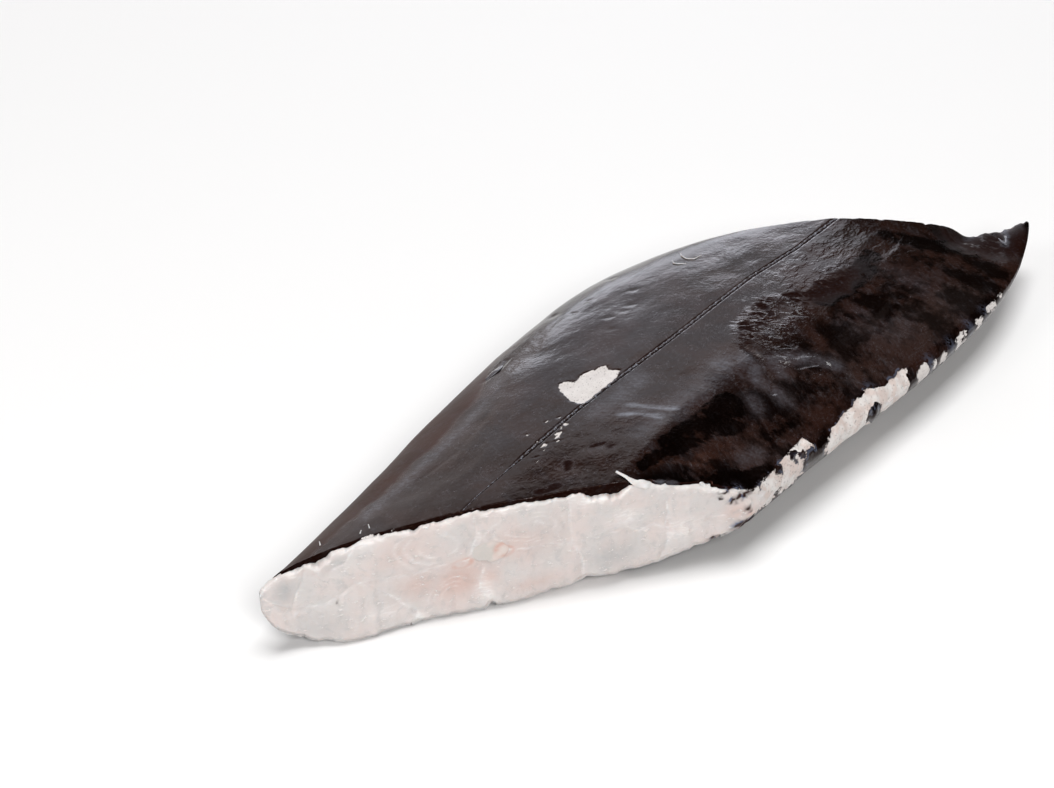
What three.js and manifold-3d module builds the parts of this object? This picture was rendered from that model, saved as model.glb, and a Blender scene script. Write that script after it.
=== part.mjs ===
// A black scabbardfish steak: one bias-cut length of the fish's body, lying on its side.
// Millimetres. +Y runs along the fish from the front cut to the back cut, +X across it, +Z up.
// The origin is under the middle of the steak, on the surface that it lies on.
import * as THREE from "three";
import { mergeVertices } from "three/addons/utils/BufferGeometryUtils.js";
import Module from "manifold-3d";

// Plan: a slanted piece whose cuts run forward on the left edge and back on the right edge.
const CUT_WIDTH = 76; // across the fish, from edge to edge, at either cut
const LEFT_LENGTH = 175; // along the left edge, from cut to cut
const FRONT_SLANT = 91; // how far the front cut's right end lies behind its left end
const BACK_SLANT = 78; // the same at the back cut
// How far each edge swells outwards between its ends, the share of the length where it swells most,
// and how the swelling runs out from there, towards the front and towards the back.
const LEFT_SWELL = { reach: 10.5, place: 0.76, powers: [1.55, 0.6] };
const RIGHT_SWELL = { reach: 10, place: 0.68, powers: [1.3, 0.75] };
const CUT_LEAN = 4.4; // how far the foot of a cut stands out in front of its top, near the left edge
const LEAN_FADE = 2.2; // how soon that runs out towards the right edge

// Section: a flattened lens, blunt at the left edge, wedge-shaped at the right.
const FRONT_EDGE_HEIGHT = 14.7; // of the lens's widest line above the surface
const BACK_EDGE_HEIGHT = 12;
const FRONT_HEIGHT = 28.4; // of the crest above the surface
const BACK_HEIGHT = 24.2;
const MIDDLE_RISE = 1.2; // extra height halfway along
const EDGE_HALF_THICKNESS = 1.4; // of the thin margin along both edges
const EDGE_ROUNDING = 0.035; // share of the width taken by the margin's round

// Shares of the width where the crest and the flat underside begin and end.
const TOP_LEFT_SPAN = [0.52, 0.38]; // at the front cut and the back cut
const TOP_FRONT_FALL = [0.7, 1.0]; // where the crest starts to fall and where it has run out
const TOP_BACK_FALL = [0.46, 0.87];
const UNDER_LEFT_SPAN = 0.19;
const UNDER_FRONT_FALL = [0.55, 1.0];
const UNDER_BACK_FALL = [0.5, 0.9];
const FALL_TURN = 0.75; // share of the length from where both falls end short of the right edge
const FALL_FOOT = 0.05; // how softly they run out there, as a share of the fall
const TOP_LEFT_POWER = [1.62, 2.1];
const TOP_RIGHT_POWER = 1.25;
const UNDER_LEFT_POWER = 2.3;
const UNDER_RIGHT_POWER = 1.55;

// The underside bears along the foot of both cuts and on a flat spot midway. Elsewhere it is lifted a little.
const BEARING_LIFT = 0.5;
const BEARING_SPOT = { along: 0.5, across: 0.34, halfLength: 0.12, halfWidth: 0.09 }; // shares

// The back cut's right corner: a thin tip of skin that curls up, beside a nick in the rim.
const TIP_CURL = 3;
const TIP_START = [0.86, 0.92]; // shares of the length and of the width where it begins
const NICK = { depth: 2.2, start: 0.9, across: 0.835, halfWidth: 0.035 }; // places as shares

// The lateral line: a fine groove along the upper flank.
const LINE_PLACE = [0.4, 0.49]; // shares of the width, at the front cut and the back cut
const LINE_DEPTH = 0.5;
const LINE_HALF_WIDTH = 0.01; // share of the width

// Muscle blocks: pillows on the cut faces, parted by septa that run down and along the face.
const SEPTA = [0.08, 0.265, 0.445, 0.625, 0.82]; // shares of the width
const BLOCK_BULGE = 1.5;
const BLOCK_SOFTNESS = 3.2; // distance from a septum over which a pillow rises
const MIDDLE_SEPTUM = 0.6; // how deep the septum along the face is, against those that run down it

// The backbone, which shows at both cuts.
const BONE_PLACE = [0.455, 0.47]; // shares of the width, at the front cut and the back cut
const BONE_HEIGHT = 0.56; // share of the steak's thickness, from the underside
const BONE_RADIUS = 3.6;
const BONE_GAP = 0.3; // between the bone and the flesh around it
const BONE_OVERRUN = 40; // past either cut, before it is trimmed to the steak

// Mesh resolution.
const STATIONS = 46; // along the steak
const LEFT_COLUMNS = 18; // across it, from the left edge to the lateral line
const RIGHT_COLUMNS = 20; // from the lateral line to the right edge
const COLUMNS = LEFT_COLUMNS + 1 + RIGHT_COLUMNS;
const CAP_ROWS = 12; // up a cut face
const BONE_SIDES = 20;

const SKIN_COLOUR = 0x2a211f;
const SKIN_ROUGHNESS = 0.3;
const BONE_COLOUR = 0xd9cfc9;
const BONE_ROUGHNESS = 0.4;

const lerp = THREE.MathUtils.lerp;
const smoothstep = THREE.MathUtils.smoothstep;
const clamp01 = (value) => THREE.MathUtils.clamp(value, 0, 1);

// A quarter of a superellipse: 0 at 0, 1 from 1 on, round where it leaves 0 and level where it reaches 1.
function swellUp(share, power) {
  return (1 - (1 - clamp01(share)) ** power) ** (1 / power);
}

// How far an edge has swollen outwards at a place along the steak.
function edgeSwell({ reach, place, powers }, along) {
  const share = along < place ? along / place : (1 - along) / (1 - place);
  const power = powers[along < place ? 0 : 1];
  return reach * Math.sin((clamp01(share) * Math.PI) / 2) ** power;
}

// The thin margin's share of its full thickness at a place across the width.
function margin(across) {
  return (
    swellUp(across / EDGE_ROUNDING, 2) * swellUp((1 - across) / EDGE_ROUNDING, 2)
  );
}

// A share that runs out to 0 in a soft foot instead of a corner.
function softFoot(share) {
  return FALL_FOOT * Math.log1p(Math.exp(share / FALL_FOOT));
}

// How full the lens is at a place across the width: 0 at the edges, 1 along the crest or the underside.
function fullness(across, leftSpan, leftPower, fall, rightPower) {
  const left = swellUp(across / leftSpan, leftPower);
  const right = swellUp(softFoot((fall[1] - across) / (fall[1] - fall[0])), rightPower);
  return left * right * swellUp((1 - across) / EDGE_ROUNDING, 2);
}

// Where the lens starts to fall at a place along the steak, and where it has run out.
function fallSpan(front, back, along) {
  return [
    lerp(front[0], back[0], along),
    lerp(front[1], back[1], smoothstep(along, FALL_TURN, 1)),
  ];
}

function lineGroove(along, across) {
  const offset = Math.abs(across - lerp(...LINE_PLACE, along));
  return LINE_DEPTH * (1 - clamp01(offset / LINE_HALF_WIDTH));
}

// The place across the width of a column of points: closer together towards the edges, with one
// column in the lateral line and one on either lip of its groove.
function columnPlace(along, column) {
  const line = lerp(...LINE_PLACE, along);
  const fromLine = column - LEFT_COLUMNS;
  if (fromLine === 0) return line;
  if (fromLine < 0) {
    const share = column / (LEFT_COLUMNS - 1);
    return (line - LINE_HALF_WIDTH) * (1 - Math.cos((share * Math.PI) / 2));
  }
  const share = (fromLine - 1) / RIGHT_COLUMNS;
  return lerp(line + LINE_HALF_WIDTH, 1, Math.sin((share * Math.PI) / 2));
}

function tipCurl(along, across) {
  const onLength = smoothstep(along, TIP_START[0], 1);
  const onWidth = smoothstep(across, TIP_START[1], 1);
  return TIP_CURL * onLength * onWidth;
}

function nickDepth(along, across) {
  const offset = (across - NICK.across) / NICK.halfWidth;
  return NICK.depth * smoothstep(along, NICK.start, 1) * Math.exp(-(offset ** 2));
}

function bearingLift(along, across) {
  const { halfLength, halfWidth } = BEARING_SPOT;
  const fromSpot = Math.hypot(
    (along - BEARING_SPOT.along) / halfLength,
    (across - BEARING_SPOT.across) / halfWidth,
  );
  return BEARING_LIFT * Math.sin(along * Math.PI) * smoothstep(fromSpot, 1, 2);
}

// Heights of the upper skin and of the underside at a place along and across the steak.
function heights(along, across) {
  const edge = lerp(FRONT_EDGE_HEIGHT, BACK_EDGE_HEIGHT, along);
  const crest =
    lerp(FRONT_HEIGHT, BACK_HEIGHT, along) +
    MIDDLE_RISE * Math.sin(along * Math.PI);
  const thin = EDGE_HALF_THICKNESS * margin(across);
  const top = fullness(
    across,
    lerp(...TOP_LEFT_SPAN, along),
    lerp(...TOP_LEFT_POWER, along),
    fallSpan(TOP_FRONT_FALL, TOP_BACK_FALL, along),
    TOP_RIGHT_POWER,
  );
  const under = fullness(
    across,
    UNDER_LEFT_SPAN,
    UNDER_LEFT_POWER,
    fallSpan(UNDER_FRONT_FALL, UNDER_BACK_FALL, along),
    UNDER_RIGHT_POWER,
  );
  const curl = tipCurl(along, across) - nickDepth(along, across);
  return {
    upper:
      edge +
      curl +
      thin +
      (crest - edge - EDGE_HALF_THICKNESS) * top -
      lineGroove(along, across),
    lower:
      edge +
      curl -
      thin -
      (edge - EDGE_HALF_THICKNESS) * under +
      bearingLift(along, across) * under,
  };
}

const frontDirection = new THREE.Vector2(CUT_WIDTH, FRONT_SLANT).normalize();
const backDirection = new THREE.Vector2(CUT_WIDTH, BACK_SLANT).normalize();
const frontOutward = new THREE.Vector2(frontDirection.y, -frontDirection.x);
const backOutward = new THREE.Vector2(-backDirection.y, backDirection.x);

// How far the foot of a cut stands out: most near the left edge, hardly at all on the right.
function cutLean(across) {
  return CUT_LEAN * swellUp(across / UNDER_LEFT_SPAN, 2) * (1 - across) ** LEAN_FADE;
}

// A point of the skin. Above is true on the upper side.
function skinPoint(along, across, above) {
  const { upper, lower } = heights(along, across);
  const lean = cutLean(across) * (above ? -0.5 : 0.5);
  const front = new THREE.Vector2(CUT_WIDTH, FRONT_SLANT)
    .multiplyScalar(across)
    .addScaledVector(frontOutward, lean);
  const back = new THREE.Vector2(CUT_WIDTH, BACK_SLANT)
    .multiplyScalar(across)
    .addScaledVector(backOutward, lean)
    .add(new THREE.Vector2(0, LEFT_LENGTH));
  const place = front.lerp(back, along);
  place.x += lerp(-edgeSwell(LEFT_SWELL, along), edgeSwell(RIGHT_SWELL, along), across);
  return new THREE.Vector3(place.x, place.y, above ? upper : lower);
}

// How far the cut face stands out at a place on it: pillows between the septa and the rim.
function blockRelief(across, up, thickness) {
  const faceWidth = Math.hypot(CUT_WIDTH, FRONT_SLANT);
  const toSeptum = Math.min(...SEPTA.map((s) => Math.abs(across - s))) * faceWidth;
  const toMiddle = Math.abs(up - 0.5) * thickness;
  const toRim = Math.min(up, 1 - up) * thickness;
  const pillow = (distance) => 1 - Math.exp(-distance / BLOCK_SOFTNESS);
  const alongFace = 1 - MIDDLE_SEPTUM + MIDDLE_SEPTUM * pillow(toMiddle);
  return BLOCK_BULGE * pillow(toSeptum) * alongFace * pillow(2 * toRim);
}

// The whole outside as one closed surface: a tube of skin with a cut face at either end.
function steakSurface() {
  const points = [];
  const triangles = [];
  const add = (point) => points.push(point) - 1;
  const quad = (a, b, c, d) => triangles.push(a, b, c, a, c, d);

  const rings = [];
  for (let station = 0; station <= STATIONS; station++) {
    const along = station / STATIONS;
    const upper = [];
    const lower = [];
    for (let column = 0; column <= COLUMNS; column++) {
      const edge = column === 0 || column === COLUMNS;
      const across = columnPlace(along, column);
      upper.push(add(skinPoint(along, across, true)));
      lower.push(edge ? upper[column] : add(skinPoint(along, across, false)));
    }
    rings.push({ upper, lower });
  }

  for (let station = 0; station < STATIONS; station++) {
    const near = rings[station];
    const far = rings[station + 1];
    for (let column = 0; column < COLUMNS; column++) {
      const next = column + 1;
      quad(near.upper[column], near.upper[next], far.upper[next], far.upper[column]);
      quad(near.lower[next], near.lower[column], far.lower[column], far.lower[next]);
    }
  }

  const cap = (along, outward) => {
    const ring = rings[along * STATIONS];
    const column = (index) => {
      const low = points[ring.lower[index]];
      const high = points[ring.upper[index]];
      if (index === 0 || index === COLUMNS) {
        return Array(CAP_ROWS + 1).fill(ring.upper[index]);
      }
      const list = [ring.lower[index]];
      for (let row = 1; row < CAP_ROWS; row++) {
        const up = row / CAP_ROWS;
        const relief = blockRelief(columnPlace(along, index), up, high.z - low.z);
        const point = low.clone().lerp(high, up);
        point.x += outward.x * relief;
        point.y += outward.y * relief;
        list.push(add(point));
      }
      list.push(ring.upper[index]);
      return list;
    };
    let left = column(0);
    for (let index = 1; index <= COLUMNS; index++) {
      const right = column(index);
      for (let row = 0; row < CAP_ROWS; row++) {
        const corners = [left[row], right[row], right[row + 1], left[row + 1]];
        if (along === 1) corners.reverse();
        const [a, b, c, d] = corners;
        if (a !== b && b !== c && c !== a) triangles.push(a, b, c);
        if (a !== c && c !== d && d !== a) triangles.push(a, c, d);
      }
      left = right;
    }
  };
  cap(0, frontOutward);
  cap(1, backOutward);

  const geometry = new THREE.BufferGeometry().setFromPoints(points);
  geometry.setIndex(triangles);
  return geometry;
}

// A straight rod along the backbone's line, reaching past both cuts.
function boneRod(radius) {
  const middleOf = (along) => {
    const across = lerp(...BONE_PLACE, along);
    return skinPoint(along, across, false).lerp(skinPoint(along, across, true), BONE_HEIGHT);
  };
  const front = middleOf(0);
  const back = middleOf(1);
  const direction = back.clone().sub(front).normalize();
  const length = front.distanceTo(back) + 2 * BONE_OVERRUN;
  const rod = new THREE.CylinderGeometry(radius, radius, length, BONE_SIDES);
  rod.applyQuaternion(
    new THREE.Quaternion().setFromUnitVectors(new THREE.Vector3(0, 1, 0), direction),
  );
  const middle = front.add(back).multiplyScalar(0.5);
  return rod.translate(middle.x, middle.y, middle.z);
}

const wasm = await Module();
wasm.setup();

function toSolid(geometry) {
  const bare = geometry.clone();
  bare.deleteAttribute("normal");
  bare.deleteAttribute("uv");
  const merged = mergeVertices(bare, 1e-4);
  return new wasm.Manifold(
    new wasm.Mesh({
      numProp: 3,
      vertProperties: merged.attributes.position.array,
      triVerts: new Uint32Array(merged.index.array),
    }),
  );
}

function toGeometry(solid) {
  const mesh = solid.getMesh();
  const geometry = new THREE.BufferGeometry();
  geometry.setAttribute("position", new THREE.BufferAttribute(mesh.vertProperties, 3));
  geometry.setIndex(new THREE.BufferAttribute(mesh.triVerts, 1));
  return geometry;
}

function namedMesh(name, solid, colour, roughness) {
  const material = new THREE.MeshStandardMaterial({ color: colour, roughness, metalness: 0 });
  const mesh = new THREE.Mesh(toGeometry(solid), material);
  mesh.name = name;
  mesh.geometry.computeVertexNormals();
  return mesh;
}

const outside = steakSurface();
outside.computeBoundingBox();
const centre = outside.boundingBox.getCenter(new THREE.Vector3());
const foot = new THREE.Vector3(centre.x, centre.y, outside.boundingBox.min.z);

const body = toSolid(outside);
const flesh = body.subtract(toSolid(boneRod(BONE_RADIUS + BONE_GAP)));
const bone = body.intersect(toSolid(boneRod(BONE_RADIUS)));

const steak = new THREE.Group();
steak.add(
  namedMesh("steak", flesh, SKIN_COLOUR, SKIN_ROUGHNESS),
  namedMesh("backbone", bone, BONE_COLOUR, BONE_ROUGHNESS),
);
steak.children.forEach((mesh) => mesh.geometry.translate(-foot.x, -foot.y, -foot.z));

export default steak;
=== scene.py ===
"""The looks of a black scabbardfish steak, laid out as a Blender add-on.

One slanting length of the fish lies on its side: wet dark skin around pale flesh, which shows at both
cuts with the backbone in it. The scene is in metres, +Z up. Forms are worked out in millimetres, from
shares of the steak's length (along, 0 at the front cut) and of its width (across, 0 at the left edge).
"""
import math

import bpy
import numpy as np
from bpy.props import FloatProperty, FloatVectorProperty, PointerProperty
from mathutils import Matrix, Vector, noise
from mathutils.bvhtree import BVHTree


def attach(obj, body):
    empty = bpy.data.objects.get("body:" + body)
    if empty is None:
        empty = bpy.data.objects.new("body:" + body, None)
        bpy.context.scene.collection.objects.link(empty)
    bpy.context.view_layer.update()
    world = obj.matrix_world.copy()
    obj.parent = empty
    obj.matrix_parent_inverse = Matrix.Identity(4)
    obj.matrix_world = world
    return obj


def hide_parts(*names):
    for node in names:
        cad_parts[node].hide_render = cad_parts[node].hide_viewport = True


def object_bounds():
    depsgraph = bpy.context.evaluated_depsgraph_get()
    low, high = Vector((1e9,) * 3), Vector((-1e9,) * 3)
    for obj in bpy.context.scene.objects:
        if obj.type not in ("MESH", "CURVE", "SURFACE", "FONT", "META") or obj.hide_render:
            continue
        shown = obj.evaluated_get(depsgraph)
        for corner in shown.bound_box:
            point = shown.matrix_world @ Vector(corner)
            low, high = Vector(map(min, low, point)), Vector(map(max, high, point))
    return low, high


bl_info = {
    "name": "Scabbardfish Steak",
    "version": (1, 0, 0),
    "blender": (4, 5, 0),
    "location": "3D View > Sidebar > Steak",
    "description": "Builds a raw black scabbardfish steak around its solid model",
    "category": "Add Mesh",
}

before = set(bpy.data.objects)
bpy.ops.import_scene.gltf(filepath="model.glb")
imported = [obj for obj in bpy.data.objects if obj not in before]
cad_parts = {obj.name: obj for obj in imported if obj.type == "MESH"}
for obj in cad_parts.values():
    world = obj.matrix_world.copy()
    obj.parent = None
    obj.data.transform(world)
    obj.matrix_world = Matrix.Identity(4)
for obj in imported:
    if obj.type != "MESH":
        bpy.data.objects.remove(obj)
CAD_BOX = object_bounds()

MM = 0.001

# The panels behind the steak: how far away they are in metres, and for each the turn to the right of +Y
# where it starts and ends, the rise where it starts and ends, in degrees, its share of the light and colour.
BACK_DISTANCE = 1.0
COOL = (0.89, 0.91, 1.0)
NEUTRAL = (1.0, 0.93, 0.94)
WARM = (1.0, 0.88, 0.84)
BACK_PANELS = [
    (-62.0, -46.0, 3.0, 27.0, 0.45, NEUTRAL),
    (-46.0, -38.0, 3.0, 13.0, 1.9, COOL), (-46.0, -38.0, 13.0, 27.0, 0.47, COOL),
    (-38.0, -32.0, 3.0, 16.5, 1.6, COOL), (-38.0, -32.0, 16.5, 27.0, 0.54, COOL),
    (-32.0, -24.0, 3.0, 20.5, 2.2, COOL), (-32.0, -24.0, 20.5, 27.0, 0.33, COOL),
    (-24.0, -15.0, 3.0, 27.0, 1.0, COOL),
    (-60.0, -37.0, 27.5, 37.0, 0.44, NEUTRAL), (-37.0, -13.0, 27.5, 31.5, 0.57, COOL),
    (-37.0, -13.0, 31.5, 37.0, 0.57, NEUTRAL),
    (-2.0, 22.0, 27.0, 39.0, 0.11, WARM),
]

# Plan of the solid model, in millimetres.
CUT_WIDTH = 76.0
LEFT_LENGTH = 175.0
FRONT_SLANT = 91.0
BACK_SLANT = 78.0
LEFT_SWELL = {"reach": 10.5, "place": 0.76, "powers": (1.55, 0.6)}
RIGHT_SWELL = {"reach": 10.0, "place": 0.68, "powers": (1.3, 0.75)}
CUT_LEAN = 4.4
LEAN_FADE = 2.2

# Section of the solid model: heights in millimetres, spans and falls as shares of the width.
EDGE_HEIGHT = (14.7, 12.0)
CREST_HEIGHT = (28.4, 24.2)
MIDDLE_RISE = 1.2
EDGE_HALF_THICKNESS = 1.4
EDGE_ROUNDING = 0.035
TOP_LEFT_SPAN = (0.52, 0.38)
TOP_LEFT_POWER = (1.62, 2.1)
TOP_FALL_START = (0.7, 0.46)
TOP_FALL_END = (1.0, 0.87)
TOP_RIGHT_POWER = 1.25
UNDER_LEFT_SPAN = 0.19
UNDER_LEFT_POWER = 2.3
UNDER_FALL_START = (0.55, 0.5)
UNDER_FALL_END = (1.0, 0.9)
UNDER_RIGHT_POWER = 1.55
FALL_TURN = 0.75
FALL_FOOT = 0.05
TIP_CURL = 3.0
TIP_START = (0.86, 0.92)
NICK = {"depth": 2.2, "start": 0.9, "across": 0.835, "half_width": 0.035}

# Tissue makes the right end of the front cut blunter than the solid: half thickness in millimetres, and
# where along the steak it fades out.
CORNER_HALF_THICKNESS = 3.3
CORNER_FADE = (0.04, 0.22)
# The backbone's centre, as shares of the width at either end and of the height.
BONE_PLACE = (0.455, 0.47)
BONE_HEIGHT = 0.56
BONE_RADIUS = 3.6

# The lateral line: its route over the upper skin as plan places, where it runs to, where the plain thread
# at its front turns into a chain of links, how broad the plain part is against the rest, a link's length,
# slant and gap, and the two grooves: place right of the line, half width, and half width of its dull floor.
LINE_ROUTE = [
    (-7.8, -93.0), (-8.4, -82.0), (-8.1, -38.5), (-5.5, 0.5), (-4.2, 41.4), (-1.8, 62.0), (-1.2, 92.0),
]
LINE_ENDS = (-88.9, 85.4)
LINE_CHANGE = (-72.0, -60.0)
LINE_PLAIN_BREADTH = 0.35
LINE_LINK = 2.9
LINK_SLANT = 0.4
LINK_GAP = 0.13
LINE_GROOVES = [(0.42, 0.26, 0.24), (-0.38, 0.2, 0.18)]
# The plain thread's width and height against the rest's, and what share of each is lost in a gap.
PLAIN_THREAD = (0.5, 0.8)
GAP_LOSS = (0.5, 0.7)
# The shares of the width between which the line is looked for, and at how many places.
LINE_SEARCH = (0.2, 0.7, 400)

# A patch where the dark skin is rubbed off, left of the lateral line, as plan places.
WORN_PATCH = [
    (-18.8, -31.3), (-17.1, -28.6), (-15.7, -28.6), (-14.7, -29.6), (-15.8, -26.9), (-15.6, -23.7),
    (-13.1, -18.6), (-11.4, -19.6), (-8.3, -18.4), (-7.5, -22.0), (-7.8, -34.5), (-8.9, -36.6),
    (-11.4, -37.0), (-16.2, -33.6),
]

# Stretches of the right edge where the fin was trimmed off and white shows. Their outlines run out past
# the edge.
TRIMMED = [
    [(35.4, -38.8), (37.4, -33.9), (37.7, -26.5), (38.0, -20.4), (37.1, -13.5), (37.3, -9.5), (38.8, -9.1),
     (40.3, -8.2), (39.5, -11.5), (40.2, -14.0), (40.0, -18.0), (46.0, -20.0), (46.0, -44.0), (36.0, -44.0)],
    [(41.5, -5.4), (40.6, -0.1), (40.1, 5.0), (40.3, 16.8), (39.9, 19.8), (41.6, 21.6), (42.6, 25.4),
     (43.1, 31.5), (43.3, 36.4), (44.5, 34.0), (46.0, 33.0), (54.0, 32.0), (52.0, -5.0)],
]

# Small rubbed spots beside the line, at the front cut and on the right edge: plan place, half length along
# the fish and half width.
SCUFFS = [
    (-5.9, -51.8, 1.8, 0.6), (-6.0, -57.0, 1.1, 0.45), (-6.6, -46.6, 0.8, 0.35), (-10.0, -44.5, 0.7, 0.35),
    (-12.5, -54.7, 0.5, 0.3), (-8.7, -56.3, 0.4, 0.25), (-5.3, -62.6, 0.5, 0.3), (-7.0, -48.6, 0.5, 0.25),
    (-4.6, -54.0, 0.5, 0.25), (-11.6, -47.5, 0.5, 0.25), (-5.0, -59.3, 0.5, 0.25), (-3.9, -64.0, 0.4, 0.22),
    (-22.9, -106.4, 0.9, 0.7), (-21.8, -105.2, 1.0, 0.8), (-20.6, -103.8, 0.8, 0.7),
    (-18.3, -101.0, 0.6, 0.5),
    (46.6, 40.2, 2.8, 1.1), (47.2, 46.0, 1.0, 0.5), (47.5, 50.6, 1.6, 0.5), (47.7, 60.0, 2.4, 0.6),
    (47.5, 63.4, 0.7, 0.3), (47.8, 71.6, 2.2, 0.5), (47.6, 80.0, 3.2, 0.45), (47.3, 87.0, 1.3, 0.3),
]

# Dark remnants of skin on the trimmed stretches: plan place, half length along the fish and half width.
REMNANTS = [
    (38.4, -23.4, 1.7, 0.7), (38.4, -16.1, 1.6, 0.7), (39.4, -13.4, 1.4, 0.6), (37.5, -31.6, 1.0, 0.45),
    (36.2, -36.8, 1.0, 0.5), (44.4, 16.5, 3.6, 0.9),
]

# Folds of the skin as plan routes, with depth and half width. A negative depth stands up.
FOLDS = [
    ([(12.6, 7.4), (15.6, 6.6), (18.9, 4.6), (22.1, 1.8), (25.5, -3.0)], 0.7, 0.7),
    ([(14.8, 6.7), (19.2, 6.4), (22.4, 5.0)], 0.25, 0.5),
    ([(17.2, -2.3), (23.0, -8.9)], 0.16, 0.6),
    ([(20.4, 10.3), (23.6, 11.9), (25.2, 16.2), (29.3, 19.5), (33.2, 20.6)], -0.24, 0.8),
    ([(21.8, 8.6), (25.2, 10.9), (27.0, 14.6)], 0.4, 0.6),
    ([(27.0, 12.7), (29.0, 15.5), (31.8, 16.7)], -0.2, 0.7),
    ([(27.7, 18.4), (31.4, 17.5), (34.2, 16.7)], 0.35, 0.6),
    ([(28.8, 60.9), (30.6, 50.0), (31.7, 41.6)], 0.12, 1.3),
    ([(33.2, 121.3), (36.5, 116.5), (38.5, 111.8), (36.6, 113.0), (34.3, 115.4)], -0.35, 0.5),
    ([(21.9, 106.9), (23.7, 104.7), (25.0, 104.0)], -0.25, 0.5),
    ([(-25.8, -80.3), (-24.3, -68.0), (-25.2, -59.8), (-28.1, -44.5)], 0.07, 0.4),
    ([(-39.4, -33.0), (-39.2, -26.0), (-40.0, -20.6)], 0.25, 0.7),
]

# Small dents in the skin: plan place, depth and radius.
DENTS = [
    (3.2, -61.8, 0.1, 1.7), (4.7, -50.6, 0.1, 1.1), (7.2, -48.8, 0.1, 0.9), (4.2, -70.7, 0.1, 2.1),
    (-36.7, 4.9, 0.16, 1.3), (-36.6, 12.7, 0.18, 1.2), (-25.9, 4.4, 0.14, 1.0), (-24.2, 12.9, 0.14, 1.0),
    (-23.9, 9.0, 0.12, 0.9), (-28.1, 20.8, 0.16, 1.1), (-38.9, 27.9, 0.2, 1.4), (-21.4, -1.2, 0.12, 1.0),
    (-42.4, 4.8, 0.2, 1.4),
]

# Dark blotches without gloss, as plan routes, with half width, how soft their edge is and strength.
BLOTCHES = [
    ([(3.6, -62.6), (2.2, -60.2)], 1.0, 0.7, 1.0),
    ([(3.6, -51.6), (5.0, -49.0)], 0.8, 0.6, 1.0),
    ([(7.0, -49.6), (7.6, -48.4)], 0.8, 0.6, 0.9),
    ([(4.3, -43.4), (5.5, -40.8)], 0.3, 0.4, 0.9),
    ([(3.0, -74.0), (5.0, -69.0)], 1.3, 0.8, 0.9),
    ([(28.0, 106.0), (41.0, 114.0)], 8.0, 6.0, 0.8),
    ([(12.6, 7.4), (18.9, 4.6), (24.0, -0.5)], 0.4, 0.4, 1.0),
]

# Black places of the right flank that are still glossy, in the same terms.
BLACK_PLACES = [
    ([(17.2, -52.0), (18.0, -41.0)], 1.5, 1.0, 1.0),
    ([(18.4, -40.0), (19.2, -30.0), (19.6, -22.6), (20.0, -15.0)], 3.4, 1.2, 1.0),
    ([(20.5, -40.0), (22.0, -28.0), (22.5, -16.0)], 3.0, 3.0, 0.6),
    ([(24.0, -26.0), (25.3, -21.0)], 2.0, 1.6, 0.8),
    ([(31.1, -41.5), (34.5, -35.8), (37.0, -26.3)], 1.8, 1.6, 0.8),
    ([(31.8, -18.0), (33.6, -9.0)], 1.8, 2.0, 0.5),
    ([(13.7, 87.8), (18.4, 90.6), (24.4, 94.0)], 4.0, 3.0, 0.8),
    ([(16.3, 42.5), (18.0, 58.0), (15.0, 73.0)], 3.5, 2.5, 0.8),
]

# The left edge of a stretch of crumpled skin that has no gloss but for its wrinkles, as plan places from
# front to back, how far right of it the gloss comes back, and how soft the edge is.
DULL_EDGE = [
    (14.0, 5.0), (9.5, 8.8), (6.8, 11.4), (4.1, 16.5), (4.9, 20.0), (3.5, 31.2), (6.5, 34.5), (9.2, 42.6),
    (10.9, 50.0), (12.3, 64.6), (12.3, 72.4), (14.1, 78.6),
]
DULL_REACH = (3.0, 12.0)
DULL_SOFT = (-0.5, 1.2)

# Reddish places on the dark flank: plan place, radius and strength.
RUDDY = [(19.5, -46.5, 3.5, 0.7), (24.0, -38.5, 3.5, 0.6), (28.0, -29.0, 3.0, 0.3)]

# Places with a pale bluish film, partly real and partly painted sheen: their streaks and patches of film
# colour stand in for reflections on the wet skin. As plan routes, with half width and strength.
FILM_AND_SHEEN_PLACES = [
    ([(1.4, -31.4), (6.5, -30.1), (11.8, -27.1)], 0.9, 1.0),
    ([(2.3, -36.3), (5.3, -33.7), (10.3, -32.4)], 0.9, 1.1),
    ([(1.0, -34.5), (12.0, -28.5)], 4.0, 0.2),
    ([(-2.7, -38.5), (-2.2, -20.3)], 3.2, 0.3),
    ([(10.9, -4.0), (14.5, 3.4)], 2.8, 0.4),
    ([(9.5, -40.0), (11.5, -25.0), (12.0, -10.0), (12.5, 0.0)], 3.2, 0.22),
    ([(17.6, 2.6), (20.4, -2.3)], 1.8, 0.3),
    ([(18.8, 8.2), (23.6, 4.6)], 1.8, 0.25),
    ([(21.0, -2.3), (24.6, -1.8), (28.6, -3.0)], 2.8, 0.2),
    ([(23.5, -9.5), (26.1, -11.7)], 2.4, 0.17),
    ([(32.1, -30.1), (33.0, -24.3)], 2.2, 0.14),
    ([(22.8, -53.9), (25.5, -50.8)], 0.8, 0.7),
    ([(20.4, 10.3), (25.2, 16.2), (31.3, 20.0)], 2.4, 0.25),
    ([(24.6, 70.7), (31.5, 69.6)], 4.5, 0.08),
    ([(29.4, 38.0), (35.9, 47.3)], 4.5, 0.08),
    ([(33.2, 121.3), (36.5, 116.5), (38.5, 111.8), (36.6, 113.0)], 0.6, 0.7),
    ([(26.8, 111.5), (27.3, 113.9)], 1.6, 0.3),
    ([(-28.7, -97.9), (-29.0, -84.0), (-29.6, -62.0), (-31.5, -44.0)], 1.7, 0.3),
    ([(-31.5, -44.0), (-36.0, -30.0)], 2.4, 0.2),
]

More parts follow.
